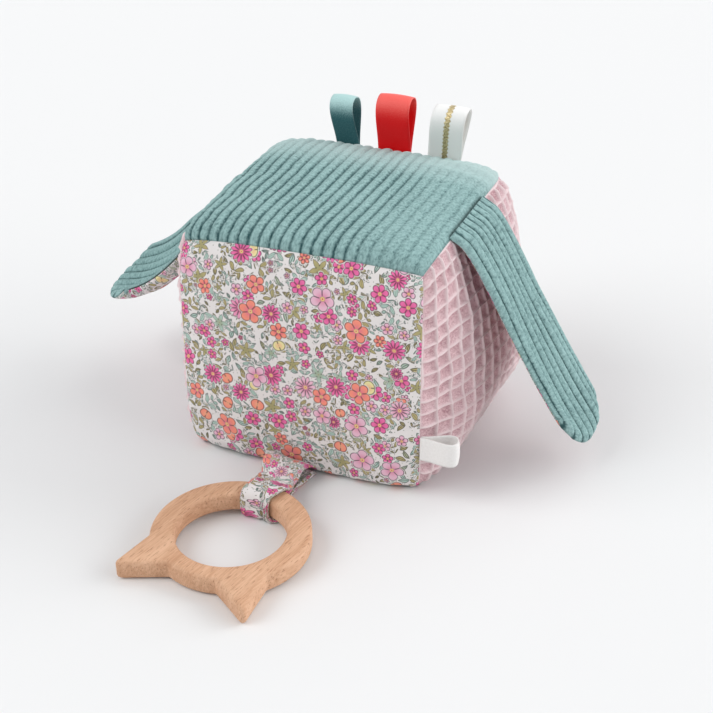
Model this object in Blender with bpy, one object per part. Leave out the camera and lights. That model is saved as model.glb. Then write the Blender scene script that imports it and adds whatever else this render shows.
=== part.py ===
# Soft activity block for a baby, about 12 cm each way: six stuffed fabric panels round a soft filling
# with a rattle in it, two padded ears, three ribbon loops, a blank label and a beech teether ring on a
# fabric strap. Metres, +Z up. The origin is the middle of the flat under the bottom panel, -Y is the
# front, and the block, the strap and the ring all rest on the plane z = 0.

import math

import bmesh
import bpy
from mathutils import Matrix, Vector

# Block: its size, and how far stuffing pushes out the middle of each face
BLOCK_WIDTH = 0.1245
BLOCK_DEPTH = 0.1243
BLOCK_HEIGHT = 0.1152
CORNER_PULL = 0.0024
FLAT_DEPTH = 0.0005
LEFT_CROWN, RIGHT_CROWN = 0.0076, 0.0195
FRONT_CROWN, BACK_CROWN = 0.0058, 0.0080
BOTTOM_CROWN, TOP_CROWN = 0.0046, 0.0046

# How far each face's seams bow out with it: the left, right, bottom and top ones on the front and back,
# the front, back, bottom and top ones on the sides, and the left, right, front and back ones on the rest
FRONT_BOW_LEFT, FRONT_BOW_RIGHT, FRONT_BOW_BOTTOM, FRONT_BOW_TOP = 0.0002, 0.0044, 0.0024, 0.0021
BACK_BOW_LEFT, BACK_BOW_RIGHT, BACK_BOW_BOTTOM, BACK_BOW_TOP = 0.0020, 0.0042, 0.0020, 0.0010
LEFT_BOW_FRONT, LEFT_BOW_BACK, LEFT_BOW_BOTTOM, LEFT_BOW_TOP = 0.0002, 0.0015, 0.0015, -0.0010
RIGHT_BOW_FRONT, RIGHT_BOW_BACK, RIGHT_BOW_BOTTOM, RIGHT_BOW_TOP = 0.0002, 0.0044, 0.0044, 0.0012
BOTTOM_BOW_LEFT, BOTTOM_BOW_RIGHT, BOTTOM_BOW_FRONT, BOTTOM_BOW_BACK = 0.0012, 0.0036, 0.0022, 0.0020
TOP_BOW_LEFT, TOP_BOW_RIGHT, TOP_BOW_FRONT, TOP_BOW_BACK = -0.0010, 0.0030, 0.0021, 0.0009

# Where the stuffing sits off a face's middle, as a share of its half size
RIGHT_SHIFT_BACK_SHARE = 0.38
RIGHT_SHIFT_DOWN_SHARE = 0.36
FRONT_SHIFT_RIGHT_SHARE = 0.25
BOTTOM_SHIFT_RIGHT_SHARE = 0.35
CORDUROY_THICK = 0.0012
WAFFLE_THICK = 0.0015
COTTON_THICK = 0.0006
PANEL_CELLS = 10
FULLNESS_POWER = 3
CORNER_POWER = 6

# Clearances: between pieces that touch, and between a moving piece and its seat
TOUCH_GAP = 0.0003
FILLING_GAP = 0.0009
WRAP_GAP = 0.0004

# Rattle
RATTLE_DIAMETER = 0.0340
RATTLE_WALL = 0.0012
RATTLE_STEPS = 24
BEAD_DIAMETER = 0.0070
BEAD_COUNT = 3

# Ears
EAR_LENGTH = 0.1265
EAR_ROOT_WIDTH = 0.0490
EAR_END_WIDTH = 0.0470
EAR_OUTER_THICK = 0.0012
EAR_WADDING_THICK = 0.0006
EAR_LINING_THICK = 0.0006
EAR_WADDING_MARGIN = 0.0035
EAR_CLOTH_GAP = 0.0004
EAR_SEAT_GAP = 0.0011
EAR_PRESS_LENGTH = 0.0130
EAR_FRONT_SHIFT = 0.0048
EAR_LENGTH_CELLS = 12
EAR_WIDTH_CELLS = 16
TIP_FRONT_ROUND_SHARE, TIP_BACK_ROUND_SHARE = 0.25, 0.09
ROOT_PRESS_SHARE = 0.45
EAR_CURL_POWER = 2
EAR_ROW_POWER = 1.6
RIGHT_EAR_BEND_LENGTH = 0.0070
RIGHT_EAR_ROOT_DROOP = math.radians(32)
RIGHT_EAR_HANG = math.radians(61.5)
RIGHT_EAR_EXTRA_DROOP = math.radians(-1)
RIGHT_EAR_FRONT_CURL = math.radians(60)
RIGHT_EAR_BACK_CURL = math.radians(-15)
RIGHT_EAR_ROLL = math.radians(12)
RIGHT_EAR_SWEEP, RIGHT_EAR_EXTRA_SWEEP = math.radians(-2), math.radians(2)
LEFT_EAR_BEND_LENGTH = 0.0120
LEFT_EAR_ROOT_DROOP = math.radians(54)
LEFT_EAR_HANG = math.radians(75)
LEFT_EAR_EXTRA_DROOP = math.radians(-54)
LEFT_EAR_FRONT_CURL = math.radians(104)
LEFT_EAR_BACK_CURL = math.radians(84)
LEFT_EAR_ROLL = math.radians(12)
LEFT_EAR_SWEEP, LEFT_EAR_EXTRA_SWEEP = math.radians(10.5), math.radians(5)

# Ribbon loops, from the left: where each one's middle is, and its width
RIBBON_THICK = 0.0005
RIBBON_LOOP_DEPTH = 0.0130
RIBBON_LEG_GAP = 0.0003
RIBBON_LEAN = 0.0030
RIBBON_PIVOT_RISE = 0.0010
TEAL_RIBBON_X, TEAL_RIBBON_WIDTH, TEAL_RIBBON_HEIGHT, TEAL_RIBBON_TILT = -0.0240, 0.0127, 0.0268, 0.0034
RED_RIBBON_X, RED_RIBBON_WIDTH, RED_RIBBON_HEIGHT, RED_RIBBON_TILT = 0.0018, 0.0180, 0.0306, 0.0004
WHITE_RIBBON_X, WHITE_RIBBON_WIDTH, WHITE_RIBBON_HEIGHT, WHITE_RIBBON_TILT = 0.0290, 0.0180, 0.0288, -0.0030
RIBBON_STEPS = 24

# Label loop
LABEL_HEIGHT = 0.0290
LABEL_WIDTH = 0.0125
LABEL_LENGTH = 0.0188
LABEL_LOOP_DEPTH = 0.0085
LABEL_TURN = math.radians(10)
LABEL_PIVOT_RISE = 0.0005

# Teether ring
RING_DIAMETER = 0.0740
RING_BAR_WIDTH = 0.01125
RING_HOLE = RING_DIAMETER - 2 * RING_BAR_WIDTH
RING_THICK = 0.0100
RING_ROUNDING = 0.0018
RING_X = -0.0048
RING_Y = -0.1337
RING_EAR_RISE = 0.0190
RING_EAR_REACH = RING_DIAMETER / 2 + RING_EAR_RISE
RING_EAR_TIP_RADIUS = 0.0025
RING_BROW_SHARE = 0.94
RING_EAR_HALF_ANGLE = math.radians(37.5)
RING_NOTCH_HALF_ANGLE = math.radians(21)
RING_CHEEK_HALF_ANGLE = math.radians(57)
RING_TURN = math.radians(-7.5)
RING_STEPS = 72

# Strap
STRAP_THICK = 0.0022
STRAP_ROOT_WIDTH = 0.0118
STRAP_ROOT_X = 0.0005
STRAP_SPLIT_GAP = 0.0006
STRAP_BIGHT_THICK = 0.0044
STRAP_BIGHT_HEIGHT = 0.0098
STRAP_BIGHT_REACH = 0.0090
STRAP_HITCH_TURN = math.radians(6)
STRAP_BAND_HALF_ANGLE = math.radians(10.2)
STRAP_STEPS = 64
STRAP_SIDES = 10

TEAL = (0.27, 0.50, 0.48, 1)
PINK = (0.80, 0.55, 0.57, 1)
PRINT = (0.78, 0.66, 0.64, 1)
RED = (0.78, 0.02, 0.02, 1)
WHITE = (0.85, 0.84, 0.82, 1)
DEEP_TEAL = (0.06, 0.26, 0.28, 1)
BEECH = (0.72, 0.47, 0.30, 1)
FIBRE = (0.88, 0.87, 0.85, 1)
PLASTIC = (0.75, 0.80, 0.85, 1)
STEEL = (0.60, 0.60, 0.62, 1)

HALF = (BLOCK_WIDTH / 2, BLOCK_DEPTH / 2, BLOCK_HEIGHT / 2)
CROWN = ((LEFT_CROWN, RIGHT_CROWN), (FRONT_CROWN, BACK_CROWN), (BOTTOM_CROWN, TOP_CROWN))

# By axis and side of a face, then by its neighbour's axis and side
SEAM_BOW = {(0, -1): {1: (LEFT_BOW_FRONT, LEFT_BOW_BACK), 2: (LEFT_BOW_BOTTOM, LEFT_BOW_TOP)},
            (0, 1): {1: (RIGHT_BOW_FRONT, RIGHT_BOW_BACK), 2: (RIGHT_BOW_BOTTOM, RIGHT_BOW_TOP)},
            (1, -1): {0: (FRONT_BOW_LEFT, FRONT_BOW_RIGHT), 2: (FRONT_BOW_BOTTOM, FRONT_BOW_TOP)},
            (1, 1): {0: (BACK_BOW_LEFT, BACK_BOW_RIGHT), 2: (BACK_BOW_BOTTOM, BACK_BOW_TOP)},
            (2, -1): {0: (BOTTOM_BOW_LEFT, BOTTOM_BOW_RIGHT), 1: (BOTTOM_BOW_FRONT, BOTTOM_BOW_BACK)},
            (2, 1): {0: (TOP_BOW_LEFT, TOP_BOW_RIGHT), 1: (TOP_BOW_FRONT, TOP_BOW_BACK)}}

# By axis and side of a face, the way along each axis that its stuffing sits off its middle
SHIFT_SHARES = {(0, 1): (0, RIGHT_SHIFT_BACK_SHARE, -RIGHT_SHIFT_DOWN_SHARE),
                (1, -1): (FRONT_SHIFT_RIGHT_SHARE, 0, 0),
                (2, -1): (BOTTOM_SHIFT_RIGHT_SHARE, 0, 0)}
BLOCK_MIDDLE = BLOCK_HEIGHT / 2 + BOTTOM_CROWN - FLAT_DEPTH


def material(name, color, roughness, metallic=0.0):
    made = bpy.data.materials.new(name)
    made.use_nodes = True
    shader = made.node_tree.nodes["Principled BSDF"]
    shader.inputs["Base Color"].default_value = color
    shader.inputs["Roughness"].default_value = roughness
    shader.inputs["Metallic"].default_value = metallic
    made.diffuse_color = color
    return made


def make_object(name, bm, surface, pivot=Vector()):
    """The mesh, made in world coordinates, as an object whose origin is its pivot."""
    bmesh.ops.recalc_face_normals(bm, faces=bm.faces)
    if bm.calc_volume(signed=True) < 0:
        bmesh.ops.reverse_faces(bm, faces=bm.faces)
    bm.transform(Matrix.Translation(-pivot))
    mesh = bpy.data.meshes.new(name)
    bm.to_mesh(mesh)
    bm.free()
    mesh.materials.append(surface)
    mesh.shade_smooth()
    mesh.set_sharp_from_angle(angle=math.radians(40))
    made = bpy.data.objects.new(name, mesh)
    made.location = pivot
    bpy.context.collection.objects.link(made)
    return made


def lattice(cuts):
    """A cube from -1 to 1 whose edges along X, Y and Z are cut that many times."""
    bm = bmesh.new()
    bmesh.ops.create_cube(bm, size=2.0)
    for axis, count in enumerate(cuts):
        if count:
            along = [e for e in bm.edges if abs(e.verts[0].co[axis] - e.verts[1].co[axis]) > 1.0]
            bmesh.ops.subdivide_edges(bm, edges=along, cuts=count, use_grid_fill=True)
    return bm


def fullness(t, shift=0.0):
    """How far stuffing fills out a face across it: 0 at its seams, 1 in its middle or at the shift."""
    off = t - shift
    reach = 1 - shift if off > 0 else 1 + shift
    return 1 - min(abs(off) / reach, 1.0) ** FULLNESS_POWER


def block_point(place, inset):
    """A place in a cube from -1 to 1 on the stuffed block, inset along each axis."""
    corner = CORNER_PULL * abs(place[0] * place[1] * place[2]) ** CORNER_POWER
    point = Vector()
    for k in range(3):
        side = 1 if place[k] > 0 else -1
        bows, shift = SEAM_BOW[k, side], SHIFT_SHARES.get((k, side), (0, 0, 0))
        i, j = (k + 1) % 3, (k + 2) % 3
        full_i, full_j = fullness(place[i], shift[i]), fullness(place[j], shift[j])
        swell = CROWN[k][side > 0] * full_i * full_j
        swell += bows[i][place[i] > 0] * full_j * (1 - fullness(place[i]))
        swell += bows[j][place[j] > 0] * full_i * (1 - fullness(place[j]))
        point[k] = place[k] * (HALF[k] - inset[k] - corner + swell)
    point.z = max(point.z + BLOCK_MIDDLE, inset[2])
    return point


def panel(name, axis, side, thickness, surface):
    """One face of the block, its edges mitred into the seams with its neighbours."""
    bm = lattice((PANEL_CELLS - 1, PANEL_CELLS - 1, 0))
    for v in bm.verts:
        inset = thickness if v.co.z < 0 else 0.0
        place = Vector()
        place[axis] = side
        for k, along in (((axis + 1) % 3, v.co.x), ((axis + 2) % 3, v.co.y)):
            place[k] = along * (1 - TOUCH_GAP / HALF[k])
        v.co = block_point(place, (inset, inset, inset))
    return make_object(name, bm, surface)


def filling_half(name, side, surface):
    """Half of the filling, split level with the block's middle and hollowed for the rattle."""
    bm = lattice((PANEL_CELLS - 1, PANEL_CELLS - 1, PANEL_CELLS // 2 - 1))
    inset = (WAFFLE_THICK + FILLING_GAP, COTTON_THICK + FILLING_GAP, CORDUROY_THICK + FILLING_GAP)
    for v in bm.verts:
        level = side * (1 + v.co.z * side) / 2
        v.co = block_point((v.co.x, v.co.y, level), inset)
        if level == 0.0:
            v.co.z += side * TOUCH_GAP / 2
    half = make_object(name, bm, surface)
    cut = half.modifiers.new("rattle pocket", "BOOLEAN")
    cut.operation = "DIFFERENCE"
    cut.object = rattle_pocket
    return half


def ball(diameter, center, name, surface, subdivisions):
    bm = bmesh.new()
    bmesh.ops.create_icosphere(bm, subdivisions=subdivisions, radius=diameter / 2, matrix=Matrix.Translation(center))
    return make_object(name, bm, surface)


def rattle_shell(name, side, surface):
    """Half of the rattle's hollow ball, turned from the outline of its wall."""
    outer, inner = RATTLE_DIAMETER / 2, RATTLE_DIAMETER / 2 - RATTLE_WALL
    rows = RATTLE_STEPS // 4
    bm = bmesh.new()
    outline = []
    for radius, order in ((outer, range(rows + 1)), (inner, range(rows, -1, -1))):
        for row in order:
            angle = math.pi / 2 * row / rows
            rim = TOUCH_GAP / 2 if row == 0 else radius * math.sin(angle)
            outline.append(bm.verts.new((radius * math.cos(angle) if row < rows else 0.0, 0, side * rim)))
    for a, b in zip(outline, outline[1:]):
        if a.co.x > 0 or b.co.x > 0:
            bm.edges.new((a, b))
    bm.edges.new((outline[-1], outline[0]))
    bmesh.ops.spin(bm, geom=bm.verts[:] + bm.edges[:], axis=(0, 0, 1), cent=(0, 0, 0), angle=math.tau,
                   steps=RATTLE_STEPS, use_merge=False)
    bmesh.ops.remove_doubles(bm, verts=bm.verts, dist=RATTLE_WALL / 100)
    bm.transform(Matrix.Translation((0, 0, BLOCK_MIDDLE)))
    return make_object(name, bm, surface)


def ramp(t):
    """A smooth step from 0 to 1."""
    t = min(max(t, 0.0), 1.0)
    return t * t * (3 - 2 * t)


def ear_seam(side):
    """The middle of the seam that an ear is sewn into."""
    return block_point((side, -EAR_FRONT_SHIFT / HALF[1], 1), (0, 0, 0))


def ear_station(along, bend):
    """At a distance from an ear's root: how far out, down and back its middle line is, its droop, and how
    far it has turned towards the back."""
    root_droop, hang, extra, bend_length, sweep, extra_sweep = bend
    steps = 24
    out = down = back = 0.0
    droop, turn = root_droop, 0.0
    for i in range(steps):
        s = along * (i + 0.5) / steps
        at_root = math.exp(-s / bend_length)
        droop = hang + (root_droop - hang) * at_root + extra * s / EAR_LENGTH
        turn = (sweep + extra_sweep * s / EAR_LENGTH) * (1 - at_root)
        out += math.cos(turn) * math.cos(droop) * along / steps
        down += math.cos(turn) * math.sin(droop) * along / steps
        back += math.sin(turn) * along / steps
    return out, down, back, droop, turn


def ear_curl(across, curl):
    """Across a curled ear, from its middle (0) to an edge (-1 or 1): how far sideways and how far out
    the cloth is, in half widths, and its slope."""
    steps = 12
    sideways = out = 0.0
    for i in range(steps):
        slope = curl * (abs(across) * (i + 0.5) / steps) ** EAR_CURL_POWER
        sideways += across * math.cos(slope) / steps
        out += abs(across) * math.sin(slope) / steps
    return sideways, out, math.copysign(curl * abs(across) ** EAR_CURL_POWER, across * curl)


def ear_layer(name, side, bend, curl, offsets, margin, surface):
    """One cloth of an ear, between two distances from the ear's middle surface."""
    front_curl, back_curl, roll = curl
    seam = ear_seam(side)
    bm = lattice((EAR_LENGTH_CELLS - 1, EAR_WIDTH_CELLS - 1, 0))
    trim_length = 1 - margin / EAR_LENGTH
    for v in bm.verts:
        # Rows lie closer together where the ear bends away from its seam
        u = ((v.co.x + 1) / 2) ** EAR_ROW_POWER * trim_length + (1 - trim_length) / 2
        across = v.co.y
        half_width = (EAR_ROOT_WIDTH + (EAR_END_WIDTH - EAR_ROOT_WIDTH) * u ** 2) / 2
        across *= 1 - margin / half_width
        tip_round = TIP_FRONT_ROUND_SHARE if across < 0 else TIP_BACK_ROUND_SHARE
        along = EAR_LENGTH * (u - tip_round * abs(across) ** 2.4 * u ** 5)
        out, down, back, droop, turn = ear_station(along, bend)
        reach = ramp(along / (EAR_LENGTH / 2))
        sideways, rise, angle = ear_curl(across, (front_curl if across < 0 else back_curl) * reach)
        sideways, rise = sideways * half_width, rise * half_width
        tilt = roll * reach
        sideways, rise = (sideways * math.cos(tilt) - rise * math.sin(tilt),
                          sideways * math.sin(tilt) + rise * math.cos(tilt))
        press = ROOT_PRESS_SHARE + (1 - ROOT_PRESS_SHARE) * ramp(along / EAR_PRESS_LENGTH)
        height = offsets[1 if v.co.z > 0 else 0] * press
        lean = angle + tilt
        sideways -= height * math.sin(lean)
        rise += height * math.cos(lean)
        # The sideways direction turns with the ear, so its own share of out and down comes off
        out += EAR_SEAT_GAP + rise * math.sin(droop) - sideways * math.sin(turn) * math.cos(droop)
        down += -rise * math.cos(droop) - sideways * math.sin(turn) * math.sin(droop)
        v.co = Vector((seam.x + side * out, seam.y + back + sideways * math.cos(turn), seam.z - down))
    return make_object(name, bm, surface, seam)


def loop_outline(height, loop_depth, leg_gap, thickness, steps):
    """The middle line of a folded ribbon: legs together at the seam, widest near three quarters of its
    height. Gives pairs of depth and height, from the front leg's foot over the top to the back one's."""
    widest_share = 0.431
    foot = leg_gap / 2 + thickness / 2
    swell = (loop_depth / 2 - foot) / widest_share
    line = []
    for i in range(steps + 1):
        angle = math.pi * i / steps
        spread = -math.cos(angle) * (foot + swell * math.sin(angle) ** 1.5)
        line.append((spread, height * math.sin(angle)))
    return line


def folded_loop(name, line, width, thickness, lean, tilt, matrix, surface, pivot):
    """A ribbon of that width that follows the line, its width along local X, standing along local Z, its
    top moved over by the lean along Y and by the tilt along -X."""
    bm = bmesh.new()
    height = max(z for _, z in line)
    rows = []
    for i, (y, z) in enumerate(line):
        before, after = line[max(i - 1, 0)], line[min(i + 1, len(line) - 1)]
        run = Vector((after[0] - before[0], after[1] - before[1])).normalized()
        shift, drift = lean * z / height, tilt * z / height
        row = []
        for x, out in ((-1, 1), (1, 1), (1, -1), (-1, -1)):
            at_y = y + shift - out * run.y * thickness / 2
            at_z = z + out * run.x * thickness / 2
            if 0 < i < len(line) - 1:
                at_z = max(at_z, thickness / 10)
            else:
                at_z = 0.0
            row.append(bm.verts.new((x * width / 2 - drift, at_y, at_z)))
        rows.append(row)
    for lower, upper in zip(rows, rows[1:]):
        for k in range(4):
            bm.faces.new((lower[k], lower[(k + 1) % 4], upper[(k + 1) % 4], upper[k]))
    bm.faces.new(rows[0])
    bm.faces.new(rows[-1][::-1])
    bm.transform(matrix)
    return make_object(name, bm, surface, pivot)


def ribbon(name, x, width, height, tilt, surface):
    seam = block_point((x / HALF[0], 1, 1), (0, 0, 0))
    foot = Vector((x, seam.y, seam.z + TOUCH_GAP))
    line = loop_outline(height, RIBBON_LOOP_DEPTH, RIBBON_LEG_GAP, RIBBON_THICK, RIBBON_STEPS)
    pivot = foot + Vector((0, 0, RIBBON_PIVOT_RISE))
    return folded_loop(name, line, width, RIBBON_THICK, RIBBON_LEAN, tilt, Matrix.Translation(foot), surface, pivot)


def label(name, surface):
    seam = block_point((1, -1, (LABEL_HEIGHT + LABEL_WIDTH / 2 - BLOCK_MIDDLE) / HALF[2]), (0, 0, 0))
    outward = Vector((math.cos(LABEL_TURN), math.sin(LABEL_TURN), 0))
    across = Vector((-math.sin(LABEL_TURN), math.cos(LABEL_TURN), 0))
    foot = Vector((seam.x, seam.y, LABEL_HEIGHT)) + outward * (RIBBON_THICK + TOUCH_GAP)
    turn = Matrix(((0, across.x, outward.x), (0, across.y, outward.y), (1, 0, 0))).to_4x4()
    line = loop_outline(LABEL_LENGTH, LABEL_LOOP_DEPTH, RIBBON_LEG_GAP, RIBBON_THICK, RIBBON_STEPS)
    pivot = foot + outward * LABEL_PIVOT_RISE
    return folded_loop(name, line, LABEL_WIDTH, RIBBON_THICK, 0.0, 0.0, Matrix.Translation(foot) @ turn, surface, pivot)


def ring_outline(count):
    """The ring's outer outline as (angle, radius), angles from -Y, with two pointed ears."""
    radius = RING_DIAMETER / 2
    brow = radius * RING_BROW_SHARE
    notch = (RING_NOTCH_HALF_ANGLE, brow)
    tip = (RING_EAR_HALF_ANGLE, RING_EAR_REACH)
    cheek = (RING_CHEEK_HALF_ANGLE, radius)
    corners = [side * place[0] for place in (notch, tip, cheek) for side in (-1, 1)]
    step = math.tau / count
    angles = [step * (i + 0.5) - math.pi for i in range(count)]
    angles = [a for a in angles if min(abs(a - corner) for corner in corners) > step * 3 / 4]
    outline = []
    for angle in sorted(angles + corners):
        size = abs(angle)
        if size >= cheek[0]:
            reach = radius
        elif size >= tip[0]:
            reach = line_radius(size, tip, cheek)
        elif size >= notch[0]:
            reach = line_radius(size, notch, tip)
        else:
            reach = brow
        outline.append((angle, reach))
    return outline


def line_radius(angle, start, end):
    """Where a straight side between two polar points lies at an angle."""
    (a, p), (b, q) = start, end
    return p * q * math.sin(b - a) / (p * math.sin(angle - a) + q * math.sin(b - angle))


def ring_frame():
    """The tilted plane that the ring's underside lies in, with its origin under the ring's middle."""
    far = RING_Y + (RING_DIAMETER + RING_HOLE) / 4
    near = RING_Y - RING_EAR_REACH * math.cos(RING_EAR_HALF_ANGLE - abs(RING_TURN))
    tilt = math.atan((STRAP_THICK + 2 * WRAP_GAP) / (far - near))
    base = Vector((RING_X, RING_Y, (RING_Y - near) * math.tan(tilt)))
    return Matrix.Translation(base) @ Matrix.Rotation(tilt, 4, "X")


def teether_ring(name, surface):
    bm = bmesh.new()
    outline = ring_outline(RING_STEPS)
    outer = [bm.verts.new((reach * math.sin(angle), -reach * math.cos(angle), 0)) for angle, reach in outline]
    hole = [bm.verts.new((RING_HOLE / 2 * math.sin(angle), -RING_HOLE / 2 * math.cos(angle), 0))
            for angle, _ in outline]
    for i in range(len(outline)):
        j = (i + 1) % len(outline)
        bm.faces.new((outer[i], outer[j], hole[j], hole[i]))
    made = bmesh.ops.extrude_face_region(bm, geom=bm.faces[:])
    top = [g for g in made["geom"] if isinstance(g, bmesh.types.BMVert)]
    bmesh.ops.translate(bm, verts=top, vec=(0, 0, RING_THICK))
    bmesh.ops.recalc_face_normals(bm, faces=bm.faces)
    tips = [e for e in bm.edges if abs(e.verts[0].co.z - e.verts[1].co.z) > RING_THICK / 2
            and e.verts[0].co.xy.length > (RING_EAR_REACH + RING_DIAMETER / 2) / 2
            and e.calc_face_angle() > math.radians(40)]
    bmesh.ops.bevel(bm, geom=tips, offset=RING_EAR_TIP_RADIUS, segments=3, profile=0.5, affect="EDGES")
    rims = [e for e in bm.edges if len(e.link_faces) == 2 and e.calc_face_angle() > math.radians(60)
            and abs(e.verts[0].co.z - e.verts[1].co.z) < RING_THICK / 2]
    bmesh.ops.bevel(bm, geom=rims, offset=RING_ROUNDING, segments=2, profile=0.5, affect="EDGES")
    frame = ring_frame()
    bm.transform(frame @ Matrix.Rotation(RING_TURN, 4, "Z"))
    return make_object(name, bm, surface, frame.translation)


def strap(name, surface):
    """The strap's two legs lie side by side from the front seam, pass under the ring, come up through
    its hole and over it, and join in a bight that lies across the legs."""
    stations = strap_half(-1) + strap_half(1)[::-1][1:]
    bm = bmesh.new()
    rows = []
    for i, (place, wide, half_width, thick) in enumerate(stations):
        before, after = stations[max(i - 1, 0)][0], stations[min(i + 1, len(stations) - 1)][0]
        run = (after - before).normalized()
        wide = (wide - run * wide.dot(run)).normalized()
        up = run.cross(wide)
        row = []
        for k in range(STRAP_SIDES):
            angle = math.tau * (k + 0.5) / STRAP_SIDES
            c, s = math.cos(angle), math.sin(angle)
            bulk = (abs(c) ** 0.55) * math.copysign(1, c), (abs(s) ** 0.8) * math.copysign(1, s)
            row.append(bm.verts.new(place + wide * half_width * bulk[0] + up * thick / 2 * bulk[1]))
        rows.append(row)
    for lower, upper in zip(rows, rows[1:]):
        for k in range(STRAP_SIDES):
            n = (k + 1) % STRAP_SIDES
            bm.faces.new((lower[k], lower[n], upper[n], upper[k]))
    bm.faces.new(rows[0])
    bm.faces.new(rows[-1][::-1])
    return make_object(name, bm, surface, strap_root() + Vector((0, 0, STRAP_THICK / 2)))


def strap_root():
    face = block_point((STRAP_ROOT_X / HALF[0], -1, STRAP_THICK / HALF[2] - 1), (0, 0, 0))
    return Vector((STRAP_ROOT_X, face.y - TOUCH_GAP, (STRAP_THICK + TOUCH_GAP) / 2))


def smooth_route(points, count):
    """Evenly counted places on a smooth curve through the points, which are tuples of any length."""
    padded = [points[0]] + points + [points[-1]]
    spans = len(points) - 1
    route = []
    for i in range(count):
        t = i / (count - 1) * spans
        n = min(int(t), spans - 1)
        f = t - n
        p0, p1, p2, p3 = padded[n:n + 4]
        route.append(tuple(
            b + f / 2 * (c - a + f * (2 * a - 5 * b + 4 * c - d + f * (3 * (b - c) + d - a)))
            for a, b, c, d in zip(p0, p1, p2, p3)))
    return route


def strap_half(side):
    """One side's stations, from the seam to the middle of the bight: place, width direction (towards
    the strap's outside), half width and thickness."""
    frame = ring_frame()
    ring_center = Vector((RING_X, RING_Y, 0))
    bar_low = (frame @ Vector((0, (RING_DIAMETER + RING_HOLE) / 4, 0))).z
    half = STRAP_THICK / 2
    under = half + TOUCH_GAP / 2
    over = bar_low + RING_THICK + WRAP_GAP + half
    inside = RING_HOLE / 2 - WRAP_GAP - half - STRAP_THICK / 4
    outside = RING_DIAMETER / 2
    middle = (RING_DIAMETER + RING_HOLE) / 4
    spread = side * STRAP_BAND_HALF_ANGLE
    polar = STRAP_HITCH_TURN + spread
    radial = Vector((math.sin(polar), math.cos(polar), 0))
    tangent = Vector((math.cos(polar), -math.sin(polar), 0)) * side
    center_line = Vector((math.sin(STRAP_HITCH_TURN), math.cos(STRAP_HITCH_TURN), 0))
    sideways = Vector((math.cos(STRAP_HITCH_TURN), -math.sin(STRAP_HITCH_TURN), 0)) * side

    def band(r, z, thick=STRAP_THICK):
        place = ring_center + radial * r
        half_width = r * math.tan(STRAP_BAND_HALF_ANGLE) - STRAP_SPLIT_GAP / 2
        return (place.x, place.y, z, tangent.x, tangent.y, half_width, thick)

    root = strap_root()
    leg_x = STRAP_ROOT_X + side * (STRAP_ROOT_WIDTH + STRAP_SPLIT_GAP) / 2
    root_station = (leg_x, root.y, root.z, side, 0.0, STRAP_ROOT_WIDTH / 2, STRAP_THICK)
    leg_end = band(outside + STRAP_THICK, under)
    leg_middle = tuple((a + b) / 2 for a, b in zip(root_station, leg_end))
    mid_height = (under + over) / 2
    corner = STRAP_THICK
    points = [root_station, leg_middle, leg_end,
              band(middle, under),
              band(inside + corner, under),
              band(inside, under + corner + half),
              band(inside, mid_height),
              band(inside, over - corner - half),
              band(inside + corner, over),
              band(middle, over),
              band(outside - half, over - WRAP_GAP),
              band(outside + STRAP_THICK, (over + STRAP_BIGHT_HEIGHT) / 2 + half, (STRAP_THICK + STRAP_BIGHT_THICK) / 2)]
    turn_start = outside + 2 * STRAP_THICK
    turn_radius = turn_start * math.sin(STRAP_BAND_HALF_ANGLE)
    turn_center = ring_center + center_line * turn_start
    for share in (0.0, 0.34, 0.67, 1.0):
        angle = math.pi / 2 * share
        direction = sideways * math.cos(angle) + center_line * math.sin(angle)
        reach = sideways * turn_radius * math.cos(angle) + center_line * STRAP_BIGHT_REACH * math.sin(angle)
        place = turn_center + reach
        points.append((place.x, place.y, STRAP_BIGHT_HEIGHT, direction.x, direction.y,
                       turn_radius * 0.8, STRAP_BIGHT_THICK))
    stations = []
    for x, y, z, wide_x, wide_y, half_width, thick in smooth_route(points, STRAP_STEPS // 2):
        stations.append((Vector((x, y, max(z, under))), Vector((wide_x, wide_y, 0)), half_width, thick))
    return stations


for old in list(bpy.data.objects):
    bpy.data.objects.remove(old, do_unlink=True)

corduroy = material("teal corduroy", TEAL, 0.95)
waffle = material("pink waffle cotton", PINK, 0.95)
cotton = material("printed cotton", PRINT, 0.85)
fibre = material("polyester fibre", FIBRE, 0.95)
plastic = material("rattle plastic", PLASTIC, 0.4)
steel = material("bead steel", STEEL, 0.3, 1.0)
teal_satin = material("teal satin", DEEP_TEAL, 0.4)
red_satin = material("red satin", RED, 0.4)
white_satin = material("white satin", WHITE, 0.5)
beech = material("beech", BEECH, 0.6)

panel("top_panel", 2, 1, CORDUROY_THICK, corduroy)
panel("bottom_panel", 2, -1, CORDUROY_THICK, corduroy)
panel("front_panel", 1, -1, COTTON_THICK, cotton)
panel("back_panel", 1, 1, COTTON_THICK, cotton)
panel("right_panel", 0, 1, WAFFLE_THICK, waffle)
panel("left_panel", 0, -1, WAFFLE_THICK, waffle)

rattle_middle = Vector((0, 0, BLOCK_MIDDLE))
rattle_pocket = ball(RATTLE_DIAMETER + 2 * TOUCH_GAP * 2, rattle_middle, "rattle_pocket", fibre, 3)
rattle_pocket.hide_render = True
rattle_pocket.display_type = "WIRE"
filling_half("filling_lower", -1, fibre)
filling_half("filling_upper", 1, fibre)
rattle_shell("rattle_shell_lower", -1, plastic)
rattle_shell("rattle_shell_upper", 1, plastic)

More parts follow.
